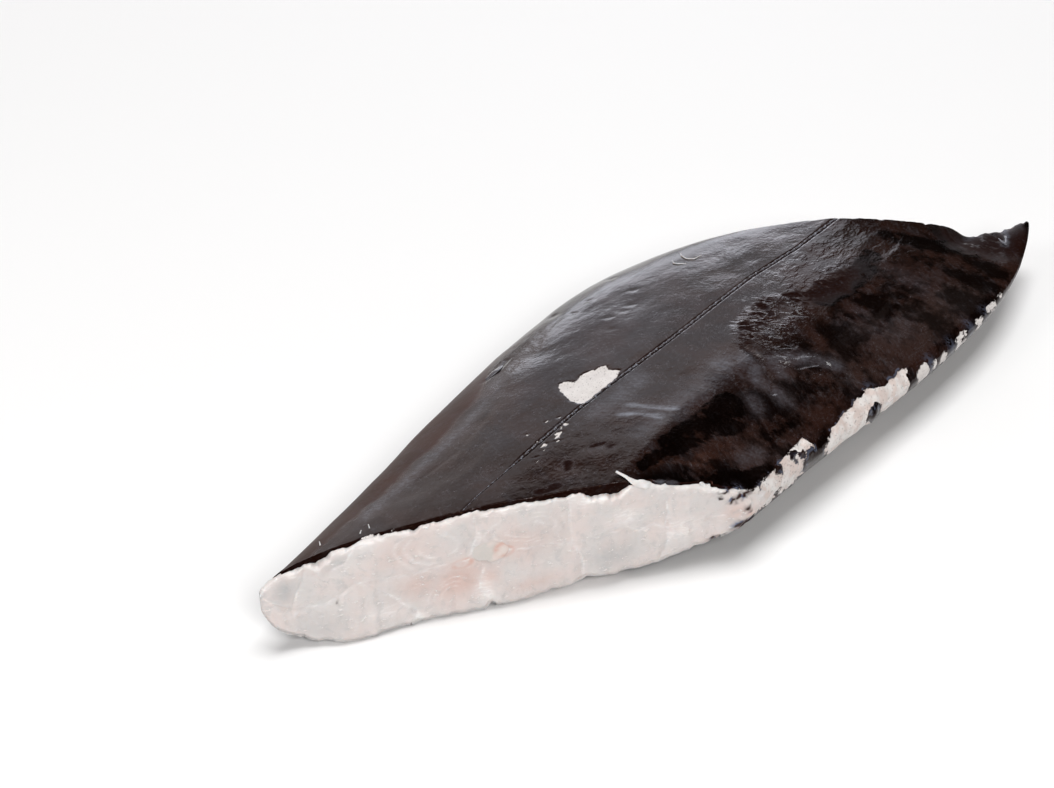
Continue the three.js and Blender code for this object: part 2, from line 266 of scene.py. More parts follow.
# Bluish spots beside the trimmed edge: plan place, radius and strength.
BLUED = [
    (33.8, -41.0, 1.1, 1.0), (35.4, -38.2, 1.3, 1.0), (37.8, -31.9, 1.2, 0.9), (40.2, -15.8, 1.6, 0.9),
    (40.8, 20.6, 1.6, 0.7), (46.6, 44.6, 1.6, 0.9), (47.3, 55.5, 1.8, 0.8), (47.6, 66.5, 1.8, 0.8),
    (47.6, 76.0, 1.8, 0.7),
]

# The right edge of the left side, where the sheen of the upper skin ends, as plan places from front to back,
# how soft it is, and where along the fish it fades out.
SIDE_EDGE = [
    (-31.2, -98.0), (-30.8, -86.0), (-32.2, -73.0), (-31.4, -63.0), (-34.0, -51.0), (-34.5, -42.0),
    (-42.0, -24.0),
]
SIDE_SOFT = (-1.4, 0.6)
SIDE_FADE = (-48.0, 25.0)

# Where the skin is crumpled, right of the line: plan centre, half sizes and strength. Then how far right of
# the dull stretch's edge that starts, and the wrinkles' direction, their length against their width, their
# strength on the rest of the skin, and how high a crest is before they are scaled.
CRUMPLED = [(10.0, 24.0, 9.5, 20.0, 1.0), (8.0, 56.0, 9.0, 16.0, 0.4), (24.0, 13.0, 11.0, 9.0, 0.35)]
CRUMPLED_FROM = (-3.0, 1.0)
WRINKLE_TURN = math.radians(32.6)
WRINKLE_STRETCH = 1.5
WRINKLE_ELSEWHERE = 0.06
WRINKLE_CREST = 0.8
# Where the skin is pebbled, in the same terms as the crumpled places.
PEBBLED = [(6.0, 58.0, 9.0, 30.0, 1.0), (-3.0, 74.0, 7.0, 14.0, 0.5), (16.0, 84.0, 9.0, 12.0, 0.4)]
# The directions in which the film and painted sheen are brushed and the right flank is scored.
BRUSH_TURN = math.radians(22.0)
SCORE_TURN = math.radians(-30.0)

# The front cut's upper rim, from the left: how deep the skin's dark cut edge is, and how far the skin lies
# back from the cut, in millimetres at shares of the width. From 0.645 to 0.738 the dark edge is made deep, as
# painted shade for the shadowed pocket under the skin's overhanging edge.
RIM_BAND = [
    (0.0, 0.1), (0.035, 0.2), (0.06, 0.5), (0.09, 1.0), (0.135, 1.3), (0.17, 0.9), (0.19, 0.3), (0.2, 0.0),
    (0.235, 0.0), (0.245, 0.5), (0.27, 0.1), (0.28, 1.1), (0.31, 1.2), (0.318, 0.3), (0.33, 0.5), (0.38, 0.5),
    (0.41, 0.3), (0.423, 0.0), (0.435, 0.1), (0.445, 0.7), (0.5, 0.6), (0.52, 0.4), (0.6, 0.7), (0.645, 1.1),
    (0.665, 2.3), (0.695, 3.2), (0.72, 2.2), (0.738, 0.4), (0.75, 0.0), (1.0, 0.0),
]
RIM_LAID_BACK = [
    (0.0, 3.0), (0.03, 2.4), (0.045, 0.2), (0.19, 0.2), (0.2, 0.7), (0.235, 0.6), (0.245, 0.1), (0.74, 0.1),
    (0.76, 0.6), (0.8, 0.2), (0.86, 0.3), (0.885, 1.2), (0.9, 0.3), (0.93, 0.3), (0.96, 0.6), (1.0, 0.8),
]
BACK_RIM_BAND = 0.9
BACK_RIM_LAID_BACK = 0.3
# How far the skin lies back in any case, above and below, and how much more where its edge is ragged. Below,
# it follows the foot of the cut.
LEAST_SETBACK = (0.05, 1.2)
RAGGED_SETBACK = (1.6, 2.2)
FOOT_SETBACK = 1.8
# How its raggedness scales the distance that the skin lies back, as weight and least and greatest scale, and
# the dark edge's depth, as least and greatest scale and the depth from which on it counts for less.
SETBACK_WEIGHT = 1.5
SETBACK_SCALES = (0.1, 2.2)
BAND_SCALES = (0.1, 1.8)
SHALLOW_BAND = 0.8

# The front cut's foot, from the left: how far its edge lies above the solid's and stands out from it, in
# millimetres at shares of the width.
FOOT_RISE = [
    (0.0, 0.9), (0.07, 0.7), (0.1, 0.0), (0.44, 0.1), (0.452, 1.5), (0.464, 0.1), (0.55, 0.5), (0.58, 1.2),
    (0.62, 1.4), (0.65, 2.6), (0.68, 1.5), (0.72, 0.6), (0.76, 0.0), (0.85, 0.3), (1.0, 0.2),
]
FOOT_OUT = [(0.0, 0.0), (0.1, 0.3), (0.16, 1.8), (0.22, 1.8), (0.28, 0.4), (0.33, 0.0), (1.0, 0.0)]

# Shreds of flesh on the skin: plan route, half widths along it, how flat they are and heights above the skin.
FLESH_SHREDS = [
    ([(22.4, -53.6), (20.6, -56.0), (18.8, -57.8), (16.6, -58.8), (14.4, -59.0)],
     (0.3, 1.2, 0.8, 0.5, 0.4), 0.4, (-0.8, -0.2, 0.4, 0.8, 1.1)),
    ([(29.8, -44.2), (28.5, -45.3)], (0.8, 0.2), 0.5, (-0.3, 0.5)),
    ([(-32.3, -110.0), (-32.6, -109.4)], (0.17, 0.1), 0.8, (0.0, 0.7)),
    ([(-25.1, -104.6), (-25.0, -104.0)], (0.2, 0.12), 0.8, (0.0, 0.6)),
    ([(-24.3, -102.0), (-24.8, -101.5)], (0.15, 0.1), 0.8, (0.0, 0.7)),
    ([(-27.6, 40.6), (-26.2, 38.6), (-24.6, 38.6), (-23.0, 39.8)],
     (0.1, 0.16, 0.16, 0.1), 0.8, (0.0, 0.2, 0.2, 0.0)),
    ([(-28.2, 46.0), (-26.6, 43.6), (-24.2, 42.2), (-22.2, 42.9), (-21.8, 46.0)],
     (0.1, 0.16, 0.16, 0.16, 0.1), 0.8, (0.0, 0.2, 0.2, 0.2, 0.0)),
]

# Curled flakes of skin near the left side and at the tip, in the same terms.
SKIN_FLAKES = [
    ([(-39.6, -31.5), (-39.1, -27.5), (-39.8, -23.5)], (0.3, 1.2, 0.3), 0.25, (0.0, 0.4, 0.0)),
    ([(33.2, 120.2), (36.2, 116.2), (38.3, 111.8), (36.6, 113.0), (34.3, 115.4)],
     (0.3, 0.5, 0.5, 0.4, 0.15), 0.4, (0.1, 0.15, 0.15, 0.1, 0.0)),
]

# Septa of a cut face, as places across it and up it in shares: they part the muscle blocks.
SEPTA = [
    [(0.0, 0.52), (0.067, 0.44), (0.124, 0.437), (0.184, 0.593), (0.255, 0.553), (0.41, 0.525)],
    [(0.485, 0.55), (0.594, 0.5), (0.681, 0.492), (0.73, 0.508), (0.761, 0.457), (0.793, 0.508),
     (0.821, 0.437), (0.94, 0.48)],
    [(0.095, 1.0), (0.087, 0.829), (0.075, 0.663), (0.062, 0.44)],
    [(0.2, 1.0), (0.172, 0.834), (0.14, 0.79)],
    [(0.19, 0.59), (0.255, 0.372), (0.309, 0.126), (0.292, 0.0)],
    [(0.42, 1.0), (0.431, 0.734), (0.417, 0.61)],
    [(0.44, 0.42), (0.437, 0.256), (0.452, 0.0)],
    [(0.612, 1.0), (0.623, 0.513), (0.643, 0.296), (0.637, 0.0)],
    [(0.818, 0.78), (0.82, 0.563), (0.825, 0.291), (0.8, 0.0)],
]

# Blocks that show rings: centre across and up, then half length and half height in millimetres. Then each
# ring's share of that size and its strength, a ring's half width in the same shares, and its height.
RINGED = [(0.35, 0.75, 11.5, 6.4), (0.526, 0.729, 11.0, 4.6), (0.379, 0.24, 6.6, 5.0)]
RINGS = [(0.42, 1.0), (0.68, 1.0), (0.9, 0.7)]
RING_HALF_WIDTH = 0.045
RING_HEIGHT = 0.1

# Vessels that show as a pink ring, in the same terms, and their ring's share and half width.
VESSELS = [(0.397, 0.508, 2.6, 1.3), (0.484, 0.54, 2.4, 1.5)]
VESSEL_RING = 0.8
VESSEL_HALF_WIDTH = 0.3

# How far from a septum and from the rim a muscle block takes to rise, a septum's half width, and how far
# from the rim the face's swells are whole, in millimetres.
BLOCK_REACH = 2.4
RIM_REACH = 1.7
SEPTUM_HALF_WIDTH = 0.35
SWELL_REACH = 3.0
# How far a face is rounded back at its foot, and over what height.
FOOT_ROUNDING = 0.5
FOOT_ROUNDED = 1.2
# How thick the steak is where the unevenness of the foot starts, and where it is whole.
FOOT_FREE = (0.5, 4.0)
# The line of white tissue under the skin: how far below the dark edge, and its half width.
TISSUE_BELOW = 0.5
TISSUE_HALF_WIDTH = 0.6
# Half widths of a septum's white line and of the pale tint around it.
SEPTUM_LINE = 0.26
SEPTUM_TINT = 1.3
# Where the flesh meets the backbone: how far it is sunk, and from where to where it rises out of that.
BONE_SEAT = 0.7
BONE_SEAT_EDGE = (2.5, 3.0)
BONE_SEAT_REACH = (2.5, 7.0)

# Tints of a cut face: centre across and up, then half length and half height in millimetres, and strength.
PINK_SPOTS = [
    (0.39, 0.36, 9.0, 5.5, 0.75), (0.397, 0.508, 1.9, 1.0, 0.5), (0.484, 0.533, 2.6, 2.2, 0.4),
    (0.455, 0.33, 3.5, 4.5, 0.5), (0.55, 0.2, 9.0, 3.0, 0.35), (0.52, 0.6, 12.0, 6.0, 0.38),
    (0.31, 0.42, 8.0, 5.0, 0.5), (0.28, 0.75, 8.0, 5.0, 0.22),
    (0.96, 0.55, 5.0, 3.2, 0.5), (0.99, 0.4, 2.6, 2.2, 0.6),
]
CLEAR_SPOTS = [
    (0.05, 0.72, 4.4, 3.6, 0.9), (0.455, 0.5, 3.4, 3.0, 0.5), (0.7, 0.27, 9.0, 4.5, 0.7),
    (0.155, 0.86, 3.6, 2.4, 0.5), (0.12, 0.2, 9.0, 5.0, 0.5), (0.0, 0.55, 2.2, 3.0, 0.9),
]
MILKY_SPOTS = [
    (0.73, 0.66, 5.0, 3.2, 0.8), (0.85, 0.4, 4.4, 3.4, 0.7), (0.31, 0.08, 4.0, 2.2, 0.8),
    (0.24, 0.24, 6.5, 2.4, 0.5), (0.447, 0.2, 2.6, 3.6, 0.9), (0.66, 0.9, 7.0, 2.2, 0.6),
]
# Dark stains and tufts, and at (0.452, 0.03) a spot of painted shade in the foot's notch below the backbone.
STAINED_AND_SHADED_SPOTS = [
    (0.152, 0.462, 0.4, 0.5, 0.8), (0.452, 0.03, 1.8, 0.7, 1.0), (0.975, 0.16, 3.0, 1.9, 1.5),
    (0.93, 0.03, 3.0, 0.8, 1.2), (0.955, 0.8, 1.4, 0.9, 1.4), (0.93, 0.85, 0.8, 0.7, 1.2),
    (0.985, 0.6, 1.3, 1.0, 1.3), (0.975, 0.9, 2.4, 0.9, 1.4), (0.945, 0.97, 2.6, 0.5, 1.2),
    (0.341, 0.95, 0.45, 0.45, 0.35),
]

# Between which depths inside their outlines, in millimetres, the relief of rubbed places and trimmed
# stretches and the trimmed tint set in, how deep a rubbed place is, and the underside's share of the skin's
# relief.
RUBBED_EDGE = (-0.2, 0.3)
RUBBED_DEPTH = 0.22
TRIMMED_EDGE = (-0.5, 1.0)
TRIMMED_TINT = (-4.0, -1.0)
UNDERSIDE_SHARE = 0.5
# Where a soft oval starts and ends to fade, as shares of its half sizes, and how soft a spot of tint is.
OVAL_FADE = (0.45, 1.1)
SPOT_SOFTNESS = 0.75

# Layers of unevenness: height in millimetres, size of a lump in millimetres, and seed. On the skin:
SKIN_SWELLS = [(0.2, 22.0, 1)]
SKIN_STREAKS = [(0.14, 6.0, 2), (0.05, 3.0, 3)]
STREAK_SHRINK = (1.0, 0.45, 1.0)
WRINKLE_BENDS = [(1.6, 7.0, 7)]
WRINKLE_VALLEYS = [(2.0, 3.4, 5)]
WRINKLE_GRAIN = [(0.5, 1.8, 6)]
WRINKLE_GAPS = [(1.0, 6.0, 8)]
TRIMMED_TISSUE = [(0.45, 3.2, 9), (0.25, 1.5, 10)]
OUTLINE_SHIFTS = ([(0.6, 2.4, 15), (0.3, 1.1, 16)], [(0.6, 2.4, 17), (0.3, 1.1, 18)])
DULL_SHIFTS = [(1.8, 4.0, 19)]
LINK_SHIFTS = [(0.25, 9.0, 61)]
LINE_WAVER = [(0.14, 4.0, 62)]
# Along the rims of the cuts:
RIM_RAGGED = [(0.55, 5.0, 11), (0.6, 1.5, 12)]
BAND_RAGGED = [(1.3, 4.0, 13), (0.8, 1.3, 14)]
SIDES_APART = 40.0
CUTS_APART = 90.0
BAND_TEETH = [(0.7, 2.2, 30), (0.4, 0.8, 31)]
FOOT_BITES = [(0.7, 4.0, 41), (0.5, 1.6, 43)]
FOOT_WAVES = [(0.7, 8.0, 45), (0.4, 2.5, 47)]
# On the cut faces, where the seeds of the back cut are a step further on:
BACK_SEEDS = 30
RUN_BENDS = [(0.9, 7.0, 20)]
BACK_RUN_BENDS = [(2.0, 15.0, 21)]
HEIGHT_BENDS = [(0.6, 6.0, 22)]
BACK_HEIGHT_BENDS = [(1.0, 12.0, 23)]
FACE_SWELLS = [(0.6, 10.0, 24)]
FACE_GRAIN = [(0.25, 3.4, 25), (0.1, 1.1, 26)]
RING_GAPS = [(1.0, 5.0, 27)]
MILKY_GAPS = [(1.0, 3.0, 28)]
SEAT_RAGGED = [(0.6, 1.8, 32)]
STAIN_AND_SHADE_RAGGED = ([(0.7, 1.0, 33)], [(0.7, 1.0, 34)])
# In the backbone:
CORE_RAGGED = [(0.4, 1.6, 51)]
MARROW_GAPS = [(1.0, 1.8, 52)]

# The skin's rolled edge: angles round the roll, steps down the dark cut edge below it, and how that leans.
ROLL_ANGLES = (30, 60, 90)
BAND_STEPS = (0.35, 0.7, 1.0)
BAND_LEAN = 0.2
TUCKED_IN = 0.5
# The room that the skin has, as a share of the steak's thickness and at least, how much deeper its cut edge
# reaches than the dark band, and how deep that edge is below.
ROOM_SHARE = 0.4
LEAST_ROOM = 0.25
EDGE_EXTRA = 0.2
UNDER_EDGE = 0.15
# How far apart two seeds look at the noise, along each axis.
SEED_STEPS = (17.31, 5.17, 11.93)
# Far away, in millimetres, for places that a mark doesn't reach.
FAR = 50.0

# Rings of the backbone's ends as shares of its radius, and how far its waist is drawn in.
BONE_SHARES = (0.03, 0.2, 0.38, 0.52, 0.62, 0.7, 0.78, 0.86, 0.93, 0.98)
BONE_SUNK = 0.4
BONE_WAIST = 0.16
# The dish of its ends: depth, the shares of the radius between which it rises, how far the end lies below the
# cut, and the ridge round it as height, share of the radius and half width.
DISH_DEPTH = 0.25
DISH_RISE = (0.1, 0.6)
DISH_SUNK = 0.12
DISH_RIDGE = (0.1, 0.68, 0.14)
# The glassy core and the pink ring: how far right of the middle, half width and half height, as shares of the
# radius. Then where the core fades out, and the ring's share of its oval and half width.
CORE_OVAL = (-0.3, 0.62, 0.78)
MARROW_OVAL = (0.55, 0.42, 0.6)
CORE_FADE = (0.7, 1.15)
MARROW_RING = (0.8, 0.3)

# The lights in front and overhead: place and side in metres, and colour. The fill's share of the key.
STEAK_MIDDLE = (0.0, 0.0, 0.015)
KEY_PLACE = (0.75, -0.75, 0.8)
KEY_SIDE = 0.4
KEY_COLOUR = (1.0, 0.99, 0.98)
FILL_PLACE = (-0.35, -1.1, 0.7)
FILL_SHARE = 0.4
TOP_PLACE = (0.0, 0.3, 3.0)
TOP_SIDE = 1.8
TOP_COLOUR = (1.0, 1.0, 1.0)

# The flesh: the share of the width that it stays clear of at the edges, how low it may reach in millimetres,
# the share of the length over which it draws away from the skin, the greatest share of the thickness that
# this takes, and its tints away from the cuts.
FLESH_MARGIN = 0.004
FLESH_FLOOR = 0.15
DRAW_REACH = 0.05
MOST_DRAWN = 0.3
PLAIN_TINTS = {"pink": 0.15, "clear": 0.1, "milky": 0.45, "stain_and_shade": 0.0}

# Mesh resolution.
SKIN_ROWS = 310
SKIN_LEFT_COLUMNS = 92
SKIN_LINE_COLUMNS = 16
SKIN_RIGHT_COLUMNS = 112
SKIN_UNDER_COLUMNS = 46
SKIN_INNER_ROWS = 14
LINE_BAND = 1.6
LINE_STEP = 0.2
FLESH_ROWS = 14
FLESH_COLUMNS = 420
FACE_ROWS = 76
BONE_SIDES = 48
BONE_ROWS = 90
STRAND_ROWS = 24
STRAND_SIDES = 10
# How closely the flesh's columns and a cut face's rows bunch towards their ends, from 0 to 1.
COLUMN_BUNCHING = 0.5
ROW_BUNCHING = 0.35

# How far red, green and blue light scatter in flesh and bone, against each other.
SCATTER = (1.0, 0.75, 0.65)
# Inputs and output of a Mix node that are for colours.
MIX_FACTOR, MIX_FIRST, MIX_SECOND, MIX_RESULT = 0, 6, 7, 2


# Small maths on numbers and arrays.
def clamp01(value):
    return np.clip(value, 0.0, 1.0)


def lerp(first, second, share):
    return first + (second - first) * share


def smoothstep(value, low, high):
    share = clamp01((value - low) / (high - low))
    return share * share * (3 - 2 * share)


def bell(value, half_width):
    return np.exp(-((value / half_width) ** 2))


def swell_up(share, power):
    """A quarter of a superellipse: 0 at 0, round where it leaves it, and 1 from 1 on."""
    return (1 - (1 - clamp01(share)) ** power) ** (1 / power)


def lumps(points, size, seed):
    """Smooth noise from about -1 to 1 at points of any array shape, with lumps of about a size."""
    shift = Vector([seed * step for step in SEED_STEPS])
    flat = np.asarray(points, float).reshape(-1, 3) / size
    values = [noise.noise(Vector(point) + shift) for point in flat]
    return np.array(values).reshape(np.shape(points)[:-1])


def rough(points, layers, seed=0):
    """A sum of layers of lumps."""
    return sum(height * lumps(points, size, own_seed + seed) for height, size, own_seed in layers)


def to_route(x, y, route):
    """Distance in plan from places to a route of straight stretches."""
    nearest = np.full(np.shape(x), np.inf)
    for (x0, y0), (x1, y1) in zip(route, route[1:]):
        dx, dy = x1 - x0, y1 - y0
        share = clamp01(((x - x0) * dx + (y - y0) * dy) / (dx * dx + dy * dy))
        nearest = np.minimum(nearest, np.hypot(x - x0 - share * dx, y - y0 - share * dy))
    return nearest


def inside_outline(x, y, outline):
    """Distance from places to an outline, positive inside it."""
    closed = outline + outline[:1]
    crossings = np.zeros(np.shape(x), int)
    for (x0, y0), (x1, y1) in zip(closed, closed[1:]):
        spans = (y0 > y) != (y1 > y)
        crossings += spans & (x < x0 + (y - y0) / (y1 - y0 + 1e-12) * (x1 - x0))
    return to_route(x, y, closed) * np.where(crossings % 2 == 1, 1.0, -1.0)


# The form of the solid model.
def edge_swell(swell, along):
    front = along < swell["place"]
    share = np.where(front, along / swell["place"], (1 - along) / (1 - swell["place"]))
    power = np.where(front, *swell["powers"])
    return swell["reach"] * np.sin(clamp01(share) * np.pi / 2) ** power


def fall(along, across, start, end, power):
    """How the section falls towards the right edge: 1 as far as the start, and 0 at the edge."""
    first = lerp(*start, along)
    last = lerp(*end, smoothstep(along, FALL_TURN, 1))
    share = FALL_FOOT * np.log1p(np.exp((last - across) / (last - first) / FALL_FOOT))
    return swell_up(share, power) * swell_up((1 - across) / EDGE_ROUNDING, 2)


def heights(along, across):
    """Heights of the underside and of the upper skin."""
    edge = lerp(*EDGE_HEIGHT, along)
    crest = lerp(*CREST_HEIGHT, along) + MIDDLE_RISE * np.sin(along * np.pi)
    margin = swell_up(across / EDGE_ROUNDING, 2) * swell_up((1 - across) / EDGE_ROUNDING, 2)
    corner = across * (1 - smoothstep(along, *CORNER_FADE))
    half = lerp(EDGE_HALF_THICKNESS, CORNER_HALF_THICKNESS, corner)
    top = swell_up(across / lerp(*TOP_LEFT_SPAN, along), lerp(*TOP_LEFT_POWER, along))
    top = top * fall(along, across, TOP_FALL_START, TOP_FALL_END, TOP_RIGHT_POWER)
    under = swell_up(across / UNDER_LEFT_SPAN, UNDER_LEFT_POWER)
    under = under * fall(along, across, UNDER_FALL_START, UNDER_FALL_END, UNDER_RIGHT_POWER)
    curl = TIP_CURL * smoothstep(along, TIP_START[0], 1) * smoothstep(across, TIP_START[1], 1)
    nick = smoothstep(along, NICK["start"], 1) * bell(across - NICK["across"], NICK["half_width"])
    middle = edge + curl - NICK["depth"] * nick
    lower = middle - half * margin - (edge - half) * under
    upper = middle + half * margin + (crest - edge - half) * top
    return lower, upper


FRONT_FACE = math.hypot(CUT_WIDTH, FRONT_SLANT)
BACK_FACE = math.hypot(CUT_WIDTH, BACK_SLANT)
FRONT_OUTWARD = np.array([FRONT_SLANT, -CUT_WIDTH, 0.0]) / FRONT_FACE
BACK_OUTWARD = np.array([-BACK_SLANT, CUT_WIDTH, 0.0]) / BACK_FACE
ROW_TO_CUT = LEFT_LENGTH * CUT_WIDTH / FRONT_FACE

# The form is worked out from the front cut's left end. The box's left side and far end fix that place.
FORM_SHIFT = np.array([
    CAD_BOX[0].x / MM + LEFT_SWELL["reach"],
    CAD_BOX[1].y / MM - BACK_SLANT - LEFT_LENGTH,
    0.0,
])


def skin_points(along, across, above):
    """Points of the skin, in millimetres in the frame. Above is 1 on the upper side and 0 below."""
    lower, upper = heights(along, across)
    lean = CUT_LEAN * swell_up(across / UNDER_LEFT_SPAN, 2) * (1 - across) ** LEAN_FADE * (0.5 - above)
    front_x = CUT_WIDTH * across + FRONT_OUTWARD[0] * lean
    front_y = FRONT_SLANT * across + FRONT_OUTWARD[1] * lean
    back_x = CUT_WIDTH * across + BACK_OUTWARD[0] * lean
    back_y = BACK_SLANT * across + BACK_OUTWARD[1] * lean + LEFT_LENGTH
    swell = lerp(-edge_swell(LEFT_SWELL, along), edge_swell(RIGHT_SWELL, along), across)
    x = lerp(front_x, back_x, along) + swell
    y = lerp(front_y, back_y, along)
    return np.stack([x, y, lerp(lower, upper, above)], -1) + FORM_SHIFT


def line_x(y):
    """Where the lateral line runs at places along the fish."""
    xs, ys = zip(*LINE_ROUTE)
    return np.interp(y, ys, xs)


def line_chain(y):
    """0 along the lateral line's plain front part, and 1 where it is a chain of links."""
    return smoothstep(y, *LINE_CHANGE)


def line_share(y):
    """How broad the lateral line is: little along its plain front part, and then 1."""
    return lerp(LINE_PLAIN_BREADTH, 1.0, line_chain(y))


def from_line(x, y):
    """How far right of the lateral line places lie, in millimetres, stretched where the line is narrow."""
    return (x - line_x(y)) / line_share(y)


def line_across(along):
    """The lateral line's share of the width at places along the steak."""
    across = np.linspace(*LINE_SEARCH)
    shares = []
    for place in along:
        points = skin_points(np.full_like(across, place), across, 1.0)
        shares.append(np.interp(0.0, points[:, 0] - line_x(points[:, 1]), across))
    return np.array(shares)


# Meshes.
def grid_faces(index):
    """Quads between neighbouring rows and columns of a grid of vertex numbers."""
    corners = [index[:-1, :-1], index[:-1, 1:], index[1:, 1:], index[1:, :-1]]
    return np.stack(corners, -1).reshape(-1, 4)


def ring_faces(index):
    """The same for rows that close on themselves."""
    return grid_faces(np.concatenate([index, index[:, :1]], axis=1))


def capped_tube(rings):
    """Points and quads of a closed tube from rings of points, with a hub in the middle of either end."""
    sides = rings.shape[1]
    index = np.arange(rings[..., 0].size).reshape(rings.shape[:2])
    quads = [ring_faces(index)]
    for hub, ring in ((index.size, index[0]), (index.size + 1, index[-1][::-1])):
        middle = np.full(sides, hub)
        quads.append(np.stack([middle, middle, np.roll(ring, -1), ring], -1))
    points = np.concatenate([rings.reshape(-1, 3), [rings[0].mean(0), rings[-1].mean(0)]])
    return points, np.concatenate(quads)


def turn_outward(points, quads):
    """The same quads, all reversed if they enclose a negative volume."""
    first, second, third, fourth = (points[quads[:, corner]] for corner in range(4))
    volume = np.sum(first * np.cross(second, third)) + np.sum(first * np.cross(third, fourth))
    return quads if volume > 0 else quads[:, ::-1]


def tidy_faces(quads):
    """Quads as lists, with those that have two corners in one place turned into triangles."""
    faces = []
    for quad in quads.tolist():
        kept = [corner for i, corner in enumerate(quad) if corner != quad[i - 1]]
        if len(kept) > 2:
            faces.append(kept)
    return faces


def add_piece(name, points, quads, attributes, material):
    """A smooth mesh piece from points in millimetres, riding on the steak's one body."""
    mesh = bpy.data.meshes.new(name)
    mesh.from_pydata((points * MM).tolist(), [], tidy_faces(turn_outward(points, quads)))
    mesh.validate()
    for key, values in attributes.items():
        attribute = mesh.attributes.new(key, "FLOAT", "POINT")
        spread = np.broadcast_to(np.asarray(values, np.float32).ravel(), len(points))
        attribute.data.foreach_set("value", np.ascontiguousarray(spread))
    mesh.shade_smooth()
    mesh.materials.append(material)
    piece = bpy.data.objects.new(name, mesh)
    bpy.context.scene.collection.objects.link(piece)
    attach(piece, "root")
    return piece


# Materials.
class Value:
    """A number that changes over a surface. Arithmetic on it adds Math nodes."""

    def __init__(self, finish, socket):
        self.finish = finish
        self.socket = socket

    def maths(self, operation, first, second):
        return self.finish.node("ShaderNodeMath", {"operation": operation}, {0: first, 1: second})

    def __add__(self, other):
        return self.maths("ADD", self, other)

    __radd__ = __add__

    def __sub__(self, other):
        return self.maths("SUBTRACT", self, other)

    def __rsub__(self, other):
        return self.maths("SUBTRACT", other, self)

    def __mul__(self, other):
        return self.maths("MULTIPLY", self, other)

    __rmul__ = __mul__

    def above(self, low, high):
        """0 below low and 1 above high, smooth between them."""
        inputs = {"Value": self, "From Min": low, "From Max": high}
        return self.finish.node("ShaderNodeMapRange", {"interpolation_type": "SMOOTHSTEP"}, inputs)

    def at_most(self, limit):
        return self.maths("MINIMUM", self, limit)

    def near(self, place, reach):
        """1 at a place, falling to 0 a reach away from it."""
        return 1 - self.maths("ABSOLUTE", self - place, 0.0).above(0.0, reach)


class Finish:
    """A material and its nodes."""

    def __init__(self, name):
        self.material = bpy.data.materials.new(name)
        self.material.use_nodes = True
        self.tree = self.material.node_tree
        self.shader = self.tree.nodes["Principled BSDF"]
        self.place = self.node("ShaderNodeTexCoord", output="Object")

    def node(self, kind, settings=None, inputs=None, output=0):
        """A new node, with its settings set first and then its sockets set or linked."""
        made = self.tree.nodes.new(kind)
        for key, value in (settings or {}).items():
            setattr(made, key, value)
        for key, value in (inputs or {}).items():
            self.feed(made.inputs[key], value)
        return Value(self, made.outputs[output])

    def feed(self, socket, value):
        if isinstance(value, Value):
            self.tree.links.new(value.socket, socket)
        else:
            socket.default_value = value

    def attribute(self, name):
        settings = {"attribute_type": "GEOMETRY", "attribute_name": name}
        return self.node("ShaderNodeAttribute", settings, output="Fac")

    def noise(self, size, detail=2.0, roughness=0.5, stretch=(1.0, 1.0, 1.0), turn=0.0, distortion=0.0):
        """Noise from 0 to 1 with lumps of about a size in millimetres."""
        mapping = {"Vector": self.place, "Rotation": (0.0, 0.0, turn), "Scale": stretch}
        vector = self.node("ShaderNodeMapping", {"vector_type": "TEXTURE"}, mapping)
        inputs = {
            "Vector": vector, "Scale": 1.0 / (size * MM), "Detail": detail,
            "Roughness": roughness, "Distortion": distortion,
        }
        return self.node("ShaderNodeTexNoise", None, inputs, output="Fac")

    def mix(self, factor, first, second):
        inputs = {MIX_FACTOR: factor, MIX_FIRST: first, MIX_SECOND: second}
        return self.node("ShaderNodeMix", {"data_type": "RGBA"}, inputs, output=MIX_RESULT)

    def bump(self, height):
        """Fine relief, from a height in millimetres."""
        return self.node("ShaderNodeBump", None, {"Height": height, "Distance": MM, "Strength": 1.0})

    def surface(self, **sockets):
        """Sets or links the shader's sockets, named in small letters with underscores."""
        for key, value in sockets.items():
            self.feed(self.shader.inputs[key.replace("_", " ").title().replace("Ior", "IOR")], value)
        return self.material


def opaque(colour):
    return (*colour, 1.0)


